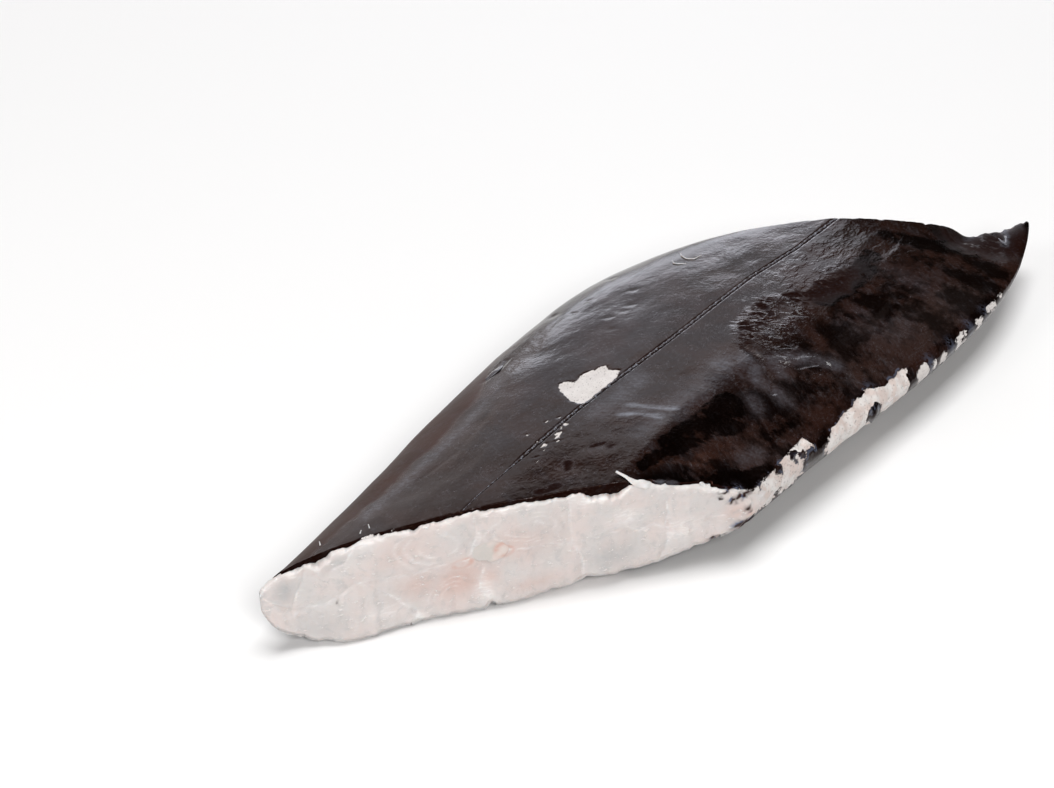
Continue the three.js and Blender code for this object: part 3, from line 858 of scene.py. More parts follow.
def skin_finish(settings):
    """Wet dark skin, rubbed through to white in places."""
    finish = Finish("wet_skin")
    bare = finish.attribute("bare")
    line = finish.attribute("line")
    rim = finish.attribute("rim")
    film_and_sheen = finish.attribute("film_and_sheen")
    crumple = finish.attribute("crumple")
    trimmed = finish.attribute("trimmed")
    side = finish.attribute("side")
    ruddy = finish.attribute("ruddy")
    cloud = finish.noise(11.0, detail=3.0)
    haze = finish.noise(7.0, detail=4.0, roughness=0.6)
    patchy = finish.noise(3.2, detail=3.0, roughness=0.6)
    grain = finish.noise(0.6, detail=3.0, roughness=0.65, stretch=(1.0, 1.8, 1.0))
    brushed = finish.noise(0.8, detail=2.0, stretch=(6.0, 1.0, 1.0), turn=BRUSH_TURN)
    scored = finish.noise(0.9, detail=2.0, stretch=(7.0, 1.0, 1.0), turn=SCORE_TURN)
    wrinkle = finish.noise(2.4, detail=3.0, stretch=(2.0, 1.0, 1.0), turn=WRINKLE_TURN, distortion=0.6)
    leather = finish.noise(2.0, detail=3.0, roughness=0.55, stretch=(1.0, 2.4, 1.0))
    rightward = finish.node("ShaderNodeSeparateXYZ", None, {"Vector": finish.place}, output="X")
    flank = rightward.above(0.015, 0.023)
    rightward = rightward.above(0.01, 0.03)
    mottle = (cloud * 0.6 + patchy * 0.4).above(0.43, 0.56)

    torn = 1 - (rim + (patchy - 0.5) * 1.2).above(-0.1, 0.5)
    right_groove, left_groove = (line.near(place, dull_half) for place, _, dull_half in LINE_GROOVES)
    crest = wrinkle.near(0.5, 0.09) * crumple
    dull = finish.attribute("dull") * (1 - crest) * patchy.above(0.2, 0.5)

    dark = finish.mix(cloud.above(0.4, 0.65), opaque(settings.deep), opaque(settings.brown))
    dark = finish.mix(patchy.above(0.55, 0.75) * 0.35, dark, opaque(settings.grey))
    browned = (side + ruddy * patchy.above(0.4, 0.65)) * (cloud * 0.8 + 0.4)
    dark = finish.mix(browned, dark, opaque(settings.side))
    # The cut edge colour darkens dull places and the cut edges. In the front rim's pocket it paints that
    # pocket's shade.
    dark = finish.mix(dull + torn, dark, opaque(settings.cut_edge_and_shade))
    # Painted sheen, partly a real film: hazes, fine specks and brushed streaks in the film colour stand in
    # for uneven reflection on the wet skin.
    haze_and_sheen = haze.above(0.5, 0.7) * patchy * 0.08 + scored.above(0.5, 0.75) * haze.above(0.4, 0.6) * 0.07
    dust_and_sheen = grain.above(0.48, 0.7) * (0.05 + patchy.above(0.4, 0.7) * 0.12) * (1 - flank * 0.5)
    dark = finish.mix(haze_and_sheen + dust_and_sheen, dark, opaque(settings.film_and_sheen))
    dark = finish.mix(film_and_sheen * (brushed * 1.6 + patchy * 0.8 + grain * 1.2 - 1.1), dark, opaque(settings.film_and_sheen))
    # Painted glints: tiny pale specks in the film colour.
    specks = finish.noise(0.4, detail=0.0).above(0.8, 0.84) * patchy.above(0.5, 0.65)
    dark = finish.mix(specks * 0.35, dark, opaque(settings.film_and_sheen))
    dark = finish.mix(torn * grain.above(0.6, 0.68) * 0.6, dark, opaque(settings.amber))

    frayed = bare + (grain - 0.5) * 0.9 + (patchy - 0.5) * 0.4
    worn = frayed.above(-0.06, 0.06)
    pores = finish.noise(0.36, detail=0.0).above(0.72, 0.76)
    pale = finish.mix(patchy.above(0.3, 0.7), opaque(settings.worn), opaque(settings.worn_shade))
    pale = finish.mix(trimmed * patchy.above(0.42, 0.62) * 0.55, pale, opaque(settings.tissue))
    pale = finish.mix(pores * 0.7, pale, opaque(settings.brown))
    halo = frayed.near(-0.35, 0.4) * patchy.above(0.52, 0.62) * trimmed
    halo = halo + finish.attribute("blue") * brushed.above(0.42, 0.52)
    dark = finish.mix(halo * 0.7, dark, opaque(settings.blue))
    colour = finish.mix(worn, dark, pale)

    # Where there is no gloss the skin is given as dark metal, which has no pale reflection of its own.
    kept = (1 - worn) * (1 - halo)
    matte = (dull + torn + right_groove + left_groove + side * 0.4).above(0.0, 1.0) * kept
    outside_film_and_sheen = 1 - film_and_sheen.above(0.0, 0.2)
    gloomy = flank * (1 - mottle) * (1 - ruddy) * outside_film_and_sheen * 0.8
    black = (finish.attribute("black") + brushed * 0.7 - 0.35).above(0.3, 0.7) * patchy.above(0.25, 0.5)
    gloomy = (gloomy + black * outside_film_and_sheen + (1 - rim.above(1.0, 7.0)) * 0.3).at_most(0.9) * kept
    roughness = 0.06 + cloud * 0.06 + grain * 0.06 + worn * 0.3 + side * 0.1 + matte * 0.8
    pebbles = leather.above(0.42, 0.62) * finish.attribute("pebble") * 0.055
    height = grain * 0.035 + leather * 0.08 + pebbles + worn * -0.06 + scored * rightward * 0.035
    height = height + wrinkle.near(0.5, 0.14) * (crumple * patchy.above(0.35, 0.6) * 0.18 + 0.006)
    return finish.surface(
        base_color=colour, roughness=roughness, metallic=matte + gloomy, normal=finish.bump(height), ior=1.45
    )


def line_finish(settings):
    """The lateral line's small scales."""
    finish = Finish("line_scales")
    grain = finish.noise(0.5, detail=2.0)
    # Flecks of the film colour on the thread are painted highlights on its scales.
    colour = finish.mix(grain.above(0.3, 0.6), opaque(settings.film_and_sheen), opaque(settings.grey))
    return finish.surface(
        base_color=colour, roughness=0.15 + grain * 0.2, normal=finish.bump(grain * 0.03), ior=1.45
    )


def flesh_finish(settings):
    """Moist raw flesh, pale and a little translucent."""
    finish = Finish("raw_flesh")
    pink = finish.attribute("pink")
    clear = finish.attribute("clear")
    milky = finish.attribute("milky")
    stain_and_shade = finish.attribute("stain_and_shade")
    cloud = finish.noise(8.0, detail=3.0)
    patchy = finish.noise(2.4, detail=3.0, roughness=0.6, distortion=0.5)
    grain = finish.noise(0.8, detail=3.0, roughness=0.6)
    fibre = finish.noise(0.6, detail=2.0, stretch=(3.0, 3.0, 1.0), distortion=0.4)

    colour = finish.mix(cloud.above(0.35, 0.65), opaque(settings.pale), opaque(settings.cool))
    colour = finish.mix(clear * (patchy * 0.8 + 0.6), colour, opaque(settings.clear))
    colour = finish.mix(pink * (patchy + 0.5), colour, opaque(settings.pink))
    colour = finish.mix(patchy.above(0.5, 0.7) * 0.4, colour, opaque(settings.clear))
    # Milky places and white fibre flecks; the flecks are partly white fibres, partly painted glints.
    whitened = milky * (0.55 + fibre.above(0.42, 0.62) * 0.5) + fibre.above(0.6, 0.72) * patchy * 0.3
    colour = finish.mix(whitened, colour, opaque(settings.membrane_and_glint))
    # Painted glints: small white flecks in the membrane colour stand in for wet highlights.
    glint = (fibre * 0.6 + grain * 0.4).above(0.57, 0.65) * patchy.above(0.49, 0.6)
    colour = finish.mix(glint, colour, opaque(settings.membrane_and_glint))
    # Stains, and painted shade in the foot's notch.
    spot = finish.mix(patchy.above(0.53, 0.62), opaque(settings.stain_and_shade), opaque(settings.blue))
    colour = finish.mix(stain_and_shade, colour, spot)

    roughness = 0.22 + grain * 0.18 + milky * 0.1
    finish.shader.subsurface_method = "RANDOM_WALK"
    return finish.surface(
        base_color=colour,
        roughness=roughness,
        normal=finish.bump(grain * 0.1 + fibre * 0.06 + patchy * 0.14 + glint * 0.12),
        subsurface_weight=0.55,
        subsurface_radius=SCATTER,
        subsurface_scale=1.4 * MM,
        ior=1.4,
    )


def bone_finish(settings):
    """A vertebra's cut end: glassy core, paler wall, pink at one side."""
    finish = Finish("moist_bone")
    core = finish.attribute("core")
    pink = finish.attribute("pink")
    grain = finish.noise(0.8, detail=3.0, roughness=0.6)
    colour = finish.mix(core, opaque(settings.wall), opaque(settings.core))
    colour = finish.mix(pink, colour, opaque(settings.marrow))
    colour = finish.mix(grain.above(0.4, 0.7) * 0.25, colour, opaque(settings.wall))
    return finish.surface(
        base_color=colour,
        roughness=0.28 + grain * 0.15,
        normal=finish.bump(grain * 0.07),
        subsurface_weight=0.4,
        subsurface_radius=SCATTER,
        subsurface_scale=1.0 * MM,
        ior=1.42,
    )


def floor_finish(settings):
    """A plain pale floor with a faint grain."""
    finish = Finish("pale_floor")
    grain = finish.noise(40.0, detail=4.0)
    colour = finish.mix(grain * 0.06, opaque(settings.floor), opaque(settings.floor_shade))
    return finish.surface(base_color=colour, roughness=0.7)


# Skin.
def skin_columns(line):
    """Shares of the width around one ring, for each row, and whether a column is on the upper side."""
    band = LINE_BAND / CUT_WIDTH
    low = (line - band)[:, None]
    high = (line + band)[:, None]
    left = np.linspace(0, 1, SKIN_LEFT_COLUMNS, endpoint=False)
    middle = np.linspace(0, 1, SKIN_LINE_COLUMNS, endpoint=False)
    right = np.linspace(0, 1, SKIN_RIGHT_COLUMNS + 1)
    under = np.linspace(0, 1, SKIN_UNDER_COLUMNS + 2)[1:-1]
    upper = [
        low * (1 - np.cos(left * np.pi / 2)),
        lerp(low, high, middle),
        lerp(high, 1.0, np.sin(right * np.pi / 2)),
    ]
    lower = np.broadcast_to((1 + np.cos(under * np.pi)) / 2, (len(line), len(under)))
    above = np.concatenate([np.ones(len(left) + len(middle) + len(right)), np.zeros(len(under))])
    return np.concatenate([*upper, lower], axis=1), above


def oval_depth(x, y, spots):
    """How far inside any of some ovals, in millimetres. Negative outside."""
    inside = np.full(np.shape(x), -FAR)
    for spot_x, spot_y, half_length, half_width in spots:
        away = np.hypot((x - spot_x) / half_width, (y - spot_y) / half_length)
        inside = np.maximum(inside, (1 - away) * half_width)
    return inside


def trimmed_depth(x, y):
    """How far inside a trimmed stretch of the right edge, in millimetres. Negative outside."""
    return np.max([inside_outline(x, y, outline) for outline in TRIMMED], axis=0)


def ragged_plan(points):
    """Plan places, shifted a little so that an outline drawn on them comes out ragged."""
    shift_x, shift_y = (rough(points, layers) for layers in OUTLINE_SHIFTS)
    return points[..., 0] + shift_x, points[..., 1] + shift_y


def bare_depth(x, y, above):
    """How far inside a rubbed or trimmed place of the skin, in millimetres. Negative outside."""
    patch = np.where(above > 0.5, inside_outline(x, y, WORN_PATCH), -FAR)
    bare = np.maximum(np.maximum(patch, oval_depth(x, y, SCUFFS)), trimmed_depth(x, y))
    return np.minimum(bare, -oval_depth(x, y, REMNANTS))


def right_of(x, y, edge):
    """How far right of an edge places lie, for an edge given from front to back."""
    edge_x, edge_y = zip(*edge)
    return x - np.interp(y, edge_y, edge_x)


def dullness(points):
    """Where the upper skin has no gloss, from 0 to 1."""
    x, y = ragged_plan(points)
    starts = [place[1] for place in DULL_EDGE]
    past = right_of(x, y, DULL_EDGE) + rough(points, DULL_SHIFTS)
    dull = smoothstep(past, *DULL_SOFT) * (1 - smoothstep(past, *DULL_REACH))
    dull = dull * smoothstep(y, starts[0], starts[2]) * (1 - smoothstep(y, starts[-4], starts[-1]))
    return np.maximum(dull, soft_routes(x, y, BLOTCHES))


def soft_routes(x, y, routes):
    """Soft-edged stripes along plan routes, as one strength from 0 to 1."""
    stripes = []
    for route, half_width, soft, strength in routes:
        stripes.append(strength * smoothstep(half_width - to_route(x, y, route), -soft, soft))
    return np.max(stripes, axis=0)


def film_and_sheen_strength(points):
    """How much bluish film, partly painted sheen, lies on the upper skin, from 0 to 1."""
    x, y = ragged_plan(points)
    stripes = [strength * bell(to_route(x, y, route), half_width) for route, half_width, strength in FILM_AND_SHEEN_PLACES]
    return np.max(stripes, axis=0)


def round_spots(x, y, spots):
    """Soft round spots on the skin, as one strength from 0 to 1."""
    tints = []
    for spot_x, spot_y, radius, strength in spots:
        tints.append(strength * bell(np.hypot(x - spot_x, y - spot_y), radius))
    return np.max(tints, axis=0)


def side_share(x, y):
    """1 on the left side, left of the upper skin's sheen, and 0 elsewhere."""
    return (1 - smoothstep(right_of(x, y, SIDE_EDGE), *SIDE_SOFT)) * (1 - smoothstep(y, *SIDE_FADE))


def soft_ovals(x, y, ovals):
    """Soft-edged ovals in plan, as one strength from 0 to 1."""
    tints = []
    for centre_x, centre_y, half_width, half_length, strength in ovals:
        away = np.hypot((x - centre_x) / half_width, (y - centre_y) / half_length)
        tints.append(strength * (1 - smoothstep(away, *OVAL_FADE)))
    return np.max(tints, axis=0)


def crumpled(x, y):
    """How crumpled the skin is, from 0 to 1."""
    return soft_ovals(x, y, CRUMPLED) * smoothstep(right_of(x, y, DULL_EDGE), *CRUMPLED_FROM)


def wrinkles(points):
    """Ridges along the wrinkles' direction, from about -1 to 1."""
    x, y = points[..., 0], points[..., 1]
    along_wrinkle = x * math.cos(WRINKLE_TURN) + y * math.sin(WRINKLE_TURN)
    over_wrinkle = y * math.cos(WRINKLE_TURN) - x * math.sin(WRINKLE_TURN)
    bent = over_wrinkle + rough(points, WRINKLE_BENDS)
    turned = np.stack([along_wrinkle / WRINKLE_STRETCH, bent, points[..., 2] * 0], -1)
    ridges = WRINKLE_CREST - np.abs(rough(turned, WRINKLE_VALLEYS)) + rough(turned, WRINKLE_GRAIN)
    ridges = ridges * smoothstep(rough(points, WRINKLE_GAPS), -0.5, 0.3)
    return ridges * lerp(WRINKLE_ELSEWHERE, 1.0, crumpled(x, y))


def folds_and_dents(x, y):
    """Relief of the single folds and dents, in millimetres."""
    relief = 0.0
    for route, depth, half_width in FOLDS:
        relief = relief - depth * bell(to_route(x, y, route), half_width)
    for dent_x, dent_y, depth, radius in DENTS:
        relief = relief - depth * bell(np.hypot(x - dent_x, y - dent_y), radius)
    return relief


def skin_relief(points, above, settings):
    """How far the skin stands out from the solid's form, in millimetres."""
    x, y = points[..., 0], points[..., 1]
    relief = rough(points, SKIN_SWELLS) + rough(points * np.array(STREAK_SHRINK), SKIN_STREAKS)
    off_line = from_line(x, y)
    grooves = sum(bell(off_line - place, half_width) for place, half_width, _ in LINE_GROOVES)
    line = settings.line_groove / MM * grooves * line_share(y)
    wrinkle = settings.wrinkle / MM * wrinkles(points)

    ragged = ragged_plan(points)
    bare = smoothstep(bare_depth(*ragged, above), *RUBBED_EDGE)
    trimmed = smoothstep(trimmed_depth(*ragged), *TRIMMED_EDGE)
    edge = rough(points, TRIMMED_TISSUE) * trimmed - RUBBED_DEPTH * bare
    upper = (wrinkle + folds_and_dents(x, y) - line) * above
    return relief * lerp(UNDERSIDE_SHARE, 1.0, above) + upper + edge


def along_rim(profile, otherwise, across, end):
    """A measure along a cut's upper rim: its profile at the front, and one value at the back."""
    places, values = zip(*profile)
    return np.interp(across, places, values) if end == 0 else np.full_like(across, otherwise)


def rim_rough(across, above, end, layers):
    """Unevenness along a cut's rim, different above and below and at the two cuts."""
    cut = np.full_like(across, end)
    place = np.stack([across * FRONT_FACE, above * SIDES_APART, cut * CUTS_APART], -1)
    return rough(place, layers)


def rim_setback(across, above, end):
    """How far the skin's edge lies back from the cut, in millimetres."""
    ragged = rim_rough(across, above, end, RIM_RAGGED)
    laid_back = along_rim(RIM_LAID_BACK, BACK_RIM_LAID_BACK, across, end)
    upper = LEAST_SETBACK[0] + RAGGED_SETBACK[0] * ragged ** 2
    upper = upper + laid_back * np.clip(1 + SETBACK_WEIGHT * ragged, *SETBACK_SCALES)
    under = LEAST_SETBACK[1] + RAGGED_SETBACK[1] * np.abs(ragged)
    under = under + FOOT_SETBACK * along_rim(FOOT_RISE, 0.0, across, end)
    return np.where(above > 0.5, upper, under)


def rim_band(across, end):
    """How deep the dark cut edge of the upper skin is, in millimetres. In the front rim's pocket it is made
    deep as painted shade.
    """
    ragged = rim_rough(across, np.ones_like(across), end, BAND_RAGGED)
    band = along_rim(RIM_BAND, BACK_RIM_BAND, across, end)
    return band * np.clip(1 + ragged / np.maximum(SHALLOW_BAND, band), *BAND_SCALES)


def build_skin(settings):
    """The skin as one closed thin sheet around the flesh, rolled over at both cuts."""
    share = np.linspace(0, 1, SKIN_ROWS)
    across, above = skin_columns(line_across(share))
    roll = settings.rim_roll / MM
    start = rim_setback(across[0], above, 0) / ROW_TO_CUT
    end = 1 - rim_setback(across[-1], above, 1) / ROW_TO_CUT
    inset = roll / ROW_TO_CUT
    along = lerp(start + inset, end - inset, share[:, None])

    outer = skin_points(along, across, above)
    ring = np.roll(outer, -1, axis=1) - np.roll(outer, 1, axis=1)
    normal = np.cross(ring, np.gradient(outer, axis=0))
    normal /= np.linalg.norm(normal, axis=-1, keepdims=True)
    sides = np.broadcast_to(above, across.shape)
    relief = skin_relief(outer, sides, settings)
    lower, upper = heights(along, across)
    room = np.clip(ROOM_SHARE * (upper - lower), LEAST_ROOM, None)
    inner_rows = np.linspace(0, SKIN_ROWS - 1, SKIN_INNER_ROWS).astype(int)

    def rim(row, edge, outward, end_number):
        """Rows from the last outer row over the rim and in behind it."""
        base = skin_points(edge, across[row], above) + normal[row] * relief[row][:, None]
        inward = -normal[row] + outward * (normal[row] @ outward)[:, None]
        inward /= np.linalg.norm(inward, axis=-1, keepdims=True)
        depth = np.where(above > 0.5, rim_band(across[row], end_number) + EDGE_EXTRA, UNDER_EDGE)
        depth = np.minimum(depth, room[row] - 0.1)
        turns = [(roll * (1 - math.cos(a)), roll * (math.sin(a) - 1)) for a in np.radians(ROLL_ANGLES)]
        steps = [(np.minimum(deep, room[row]), out) for deep, out in turns]
        deepest = room[row] + 0.3
        for part in BAND_STEPS:
            steps.append((np.minimum(roll + depth * part, deepest), -BAND_LEAN * part * depth))
        steps.append((np.minimum(roll + depth + 0.1, deepest), -TUCKED_IN - BAND_LEAN * depth))
        rows = []
        for deep, out in steps:
            rows.append(base + inward * deep[:, None] + outward * np.broadcast_to(out, deep.shape)[:, None])
        return rows, steps

    front, front_steps = rim(0, start, FRONT_OUTWARD, 0)
    back, back_steps = rim(-1, end, BACK_OUTWARD, 1)
    outer = outer + normal * relief[..., None]
    thickness = np.minimum(settings.thickness / MM, room)
    inner = outer - normal * thickness[..., None]
    rows = [*front[::-1], *outer, *back, *inner[inner_rows[::-1]]]
    points = np.array(rows)
    points[..., 2] = np.maximum(points[..., 2], 0.0)

    to_cut = np.minimum(along - start, end - along) * ROW_TO_CUT
    rims = [*[-deep for deep, _ in front_steps[::-1]], *to_cut, *[-deep for deep, _ in back_steps]]
    rims += [to_cut[row] for row in inner_rows[::-1]]
    x, y = points[..., 0], points[..., 1]
    whole = np.broadcast_to(above, x.shape)
    attributes = {
        "bare": bare_depth(*ragged_plan(points), whole),
        "line": np.where(whole > 0.5, from_line(x, y), FAR),
        "rim": np.array(rims),
        "dull": dullness(points) * whole,
        "film_and_sheen": film_and_sheen_strength(points) * whole,
        "blue": round_spots(*ragged_plan(points), BLUED),
        "ruddy": round_spots(x, y, RUDDY) * whole,
        "black": soft_routes(*ragged_plan(points), BLACK_PLACES) * whole,
        "crumple": crumpled(x, y) * whole,
        "pebble": soft_ovals(x, y, PEBBLED) * whole,
        "trimmed": smoothstep(trimmed_depth(x, y), *TRIMMED_TINT),
        "side": side_share(*ragged_plan(points)),
    }
    index = np.arange(x.size).reshape(x.shape)
    index = np.concatenate([index, index[:1]], axis=0)
    piece = add_piece(
        "skin", points.reshape(-1, 3), ring_faces(index), attributes, skin_finish(settings)
    )
    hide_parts("steak")


# Strands that lie on the skin.
def on_top(x, y):
    """Top points of the skin or the flesh at plan places, in millimetres, and the normals there."""
    graph = bpy.context.evaluated_depsgraph_get()
    trees = [BVHTree.FromObject(bpy.data.objects[name], graph) for name in ("skin", "flesh")]
    points, normals = [], []
    for place in zip(x, y):
        start = Vector((place[0] * MM, place[1] * MM, CAD_BOX[1].z + MM))
        rays = [tree.ray_cast(start, Vector((0.0, 0.0, -1.0))) for tree in trees]
        hits = [hit for hit in rays if hit[0]] or [tree.find_nearest(start) for tree in trees]
        point, normal, _, _ = min(hits, key=lambda hit: hit[3])
        points.append(point)
        normals.append(normal)
    return np.array(points) / MM, np.array(normals)


def strand_rings(centre, normal, half_width, half_height):
    """Rings of a strand around a row of centres, flat side along the normals."""
    side = np.cross(np.gradient(centre, axis=0), normal)
    side /= np.linalg.norm(side, axis=-1, keepdims=True)
    angle = np.linspace(0, 2 * np.pi, STRAND_SIDES, endpoint=False)
    wide = side[:, None] * (half_width[:, None] * np.cos(angle))[..., None]
    high = normal[:, None] * (half_height[:, None] * np.sin(angle))[..., None]
    return centre[:, None] + wide + high


def spread_out(values):
    """A short list of values or points as many rows, evenly between them."""
    values = np.asarray(values, float)
    place = np.linspace(0, len(values) - 1, STRAND_ROWS)
    before = np.minimum(place.astype(int), len(values) - 2)
    share = (place - before).reshape(-1, *[1] * (values.ndim - 1))
    return lerp(values[before], values[before + 1], share)


def add_strands(name, strands, attributes, material):
    """Strands from plan routes, joined in one piece."""
    points, quads, made = [], [], 0
    for route, half_widths, flatness, lifts in strands:
        ground, normal = (spread_out(values) for values in on_top(*zip(*route)))
        half_width = spread_out(half_widths)
        centre = ground + normal * spread_out(lifts)[:, None]
        rings = strand_rings(centre, normal, half_width, half_width * flatness)
        strand_points, strand_quads = capped_tube(rings)
        points.append(strand_points)
        quads.append(strand_quads + made)
        made += len(strand_points)
    add_piece(name, np.concatenate(points), np.concatenate(quads), attributes, material)


def build_lateral_line(settings):
    """The lateral line's thread of small scales: plain at the front, then a chain of links."""
    y = np.arange(*LINE_ENDS, LINE_STEP)
    place = np.stack([y, y * 0, y * 0], -1)
    chain = line_chain(y)
    link = (y / LINE_LINK + rough(place, LINK_SHIFTS)) % 1.0
    gap = bell(link - 0.5, LINK_GAP) * chain
    x = line_x(y) + rough(place, LINE_WAVER) + LINK_SLANT * chain * (link - 0.5) * (1 - gap)
    full_size = (settings.line_width / MM / 2, settings.line_height / MM)
    half_width, half_height = (
        size * lerp(plain, 1.0, chain) * (1 - loss * gap)
        for size, plain, loss in zip(full_size, PLAIN_THREAD, GAP_LOSS)
    )
    points, quads = capped_tube(strand_rings(*on_top(x, y), half_width, half_height))
    add_piece("lateral_line", points, quads, {}, line_finish(settings))


def build_shreds(skin_settings, flesh_settings):
    """Shreds of flesh and curled flakes of skin left by the knife."""
    flesh = bpy.data.materials.get("raw_flesh") or flesh_finish(flesh_settings)
    skin = bpy.data.materials.get("wet_skin") or skin_finish(skin_settings)
    add_strands("flesh_shreds", FLESH_SHREDS, {"milky": [0.5]}, flesh)
    # The flakes carry the film colour as painted sheen.
    flake_skin_with_sheen = {"bare": [-FAR], "line": [FAR], "rim": [5.0], "film_and_sheen": [0.5]}
    add_strands("skin_flakes", SKIN_FLAKES, flake_skin_with_sheen, skin)


# Flesh.
def face_places(route, along):
    """A route on a cut face, from shares across and up to millimetres along the face and in height."""
    across, up = (np.array(values) for values in zip(*route))
    lower, upper = heights(np.full_like(across, along), across)
    return list(zip(across * FRONT_FACE, lerp(lower, upper, up)))


def from_spot(spot, along, run, height):
    """How far from the middle of a spot on a cut face, as a share of its half sizes."""
    across, up, half_length, half_height = spot
    (spot_run, spot_height), = face_places([(across, up)], along)
    return np.hypot((run - spot_run) / half_length, (height - spot_height) / half_height)


def face_spots(spots, along, run, height):
    """Soft spots of tint on a cut face, as one strength."""
    tints = [strength * bell(from_spot(spot, along, run, height), SPOT_SOFTNESS) for *spot, strength in spots]
    return np.max(tints, axis=0)


def face_detail(points, across, up, thickness, along, settings):
    """Relief of a cut face in millimetres, and its tints."""
    seed = BACK_SEEDS * along
    run = across * FRONT_FACE + rough(points, RUN_BENDS, seed) + along * rough(points, BACK_RUN_BENDS, seed)
    height = points[..., 2] + rough(points, HEIGHT_BENDS, seed)
    height = height + along * rough(points, BACK_HEIGHT_BENDS, seed)
    septum = np.min([to_route(run, height, face_places(route, along)) for route in SEPTA], axis=0)
    to_rim = np.minimum(up, 1 - up) * thickness
    from_skin = (1 - up) * thickness

    pillow = (1 - np.exp(-septum / BLOCK_REACH)) * (1 - np.exp(-to_rim / RIM_REACH))
    relief = settings.bulge / MM * pillow
    relief = relief + rough(points, FACE_SWELLS, seed) * smoothstep(to_rim, 0.0, SWELL_REACH)
    relief = relief + rough(points, FACE_GRAIN, seed)
    relief = relief - settings.septum / MM * bell(septum, SEPTUM_HALF_WIDTH)

    band = np.broadcast_to(rim_band(across[0], along), across.shape)
    teeth = np.stack([across * FRONT_FACE, up * 0, up * 0], -1)
    torn = 1.0 + rough(teeth, BAND_TEETH, seed) / (0.6 + band ** 1.5)
    torn = band * np.clip(torn, 0.3, 1.5) + 0.1
    relief = relief - (0.9 + 0.3 * band) * (1 - smoothstep(from_skin, torn - 0.4, torn + 0.3))
    relief = relief - FOOT_ROUNDING * (1 - smoothstep(up * thickness, 0.0, FOOT_ROUNDED))

    arcs = []
    for block in RINGED:
        away = from_spot(block, along, run, height)
        arcs.append(sum(strength * bell(away - share, RING_HALF_WIDTH) for share, strength in RINGS))
    rings = np.max(arcs, axis=0) * smoothstep(rough(points, RING_GAPS, seed), -0.25, 0.35)
    relief = relief + RING_HEIGHT * rings
    from_vessel = [from_spot(vessel, along, run, height) - VESSEL_RING for vessel in VESSELS]
    vessels = np.max([bell(away, VESSEL_HALF_WIDTH) for away in from_vessel], axis=0)

    (bone_run, bone_height), = face_places([(lerp(*BONE_PLACE, along), BONE_HEIGHT)], along)
    slant = CUT_WIDTH / FRONT_FACE
    from_bone = np.hypot((run - bone_run) * slant, height - bone_height) + rough(points, SEAT_RAGGED, seed)
    relief = relief * smoothstep(from_bone, *BONE_SEAT_REACH)
    relief = lerp(-BONE_SEAT, relief, smoothstep(from_bone, *BONE_SEAT_EDGE))

    uneven = smoothstep(rough(points, MILKY_GAPS, seed), -0.4, 0.5)
    shift_run, shift_height = (rough(points, layers, seed) for layers in STAIN_AND_SHADE_RAGGED)
    under_skin = bell(from_skin - torn - TISSUE_BELOW, TISSUE_HALF_WIDTH) * uneven
    tints = {
        "pink": np.maximum(face_spots(PINK_SPOTS, along, run, height), vessels * (0.5 + 0.8 * uneven)),
        "clear": face_spots(CLEAR_SPOTS, along, run, height),
        "milky": clamp01(
            0.9 * bell(septum, SEPTUM_LINE) * uneven + 0.12 * bell(septum, SEPTUM_TINT) + 0.6 * rings
            + 0.8 * under_skin + face_spots(MILKY_SPOTS, along, run, height)
        ),
        "stain_and_shade": face_spots(STAINED_AND_SHADED_SPOTS, along, run + shift_run, height + shift_height) * (1 - along),
    }
    return relief, tints


def uneven_foot(lower, across, thickness, end, outward):
    """A cut face's lower edge, raised and pushed out in places as the knife left it."""
    bites = sum(np.abs(rough(lower, [layer], end)) for layer in FOOT_BITES)
    rise = bites + along_rim(FOOT_RISE, 0.0, across, end)
    out = rough(lower, FOOT_WAVES, end) + along_rim(FOOT_OUT, 0.0, across, end)
    free = smoothstep(thickness, *FOOT_FREE)
    return lower + outward * (out * free)[:, None] + np.array([0.0, 0.0, 1.0]) * (rise * free)[:, None]


def bunched(count, amount):
    """Shares from 0 to 1, closer together towards both ends by an amount from 0 to 1."""
    share = np.linspace(0, 1, count + 1)
    return lerp(share, (1 - np.cos(share * np.pi)) / 2, amount)


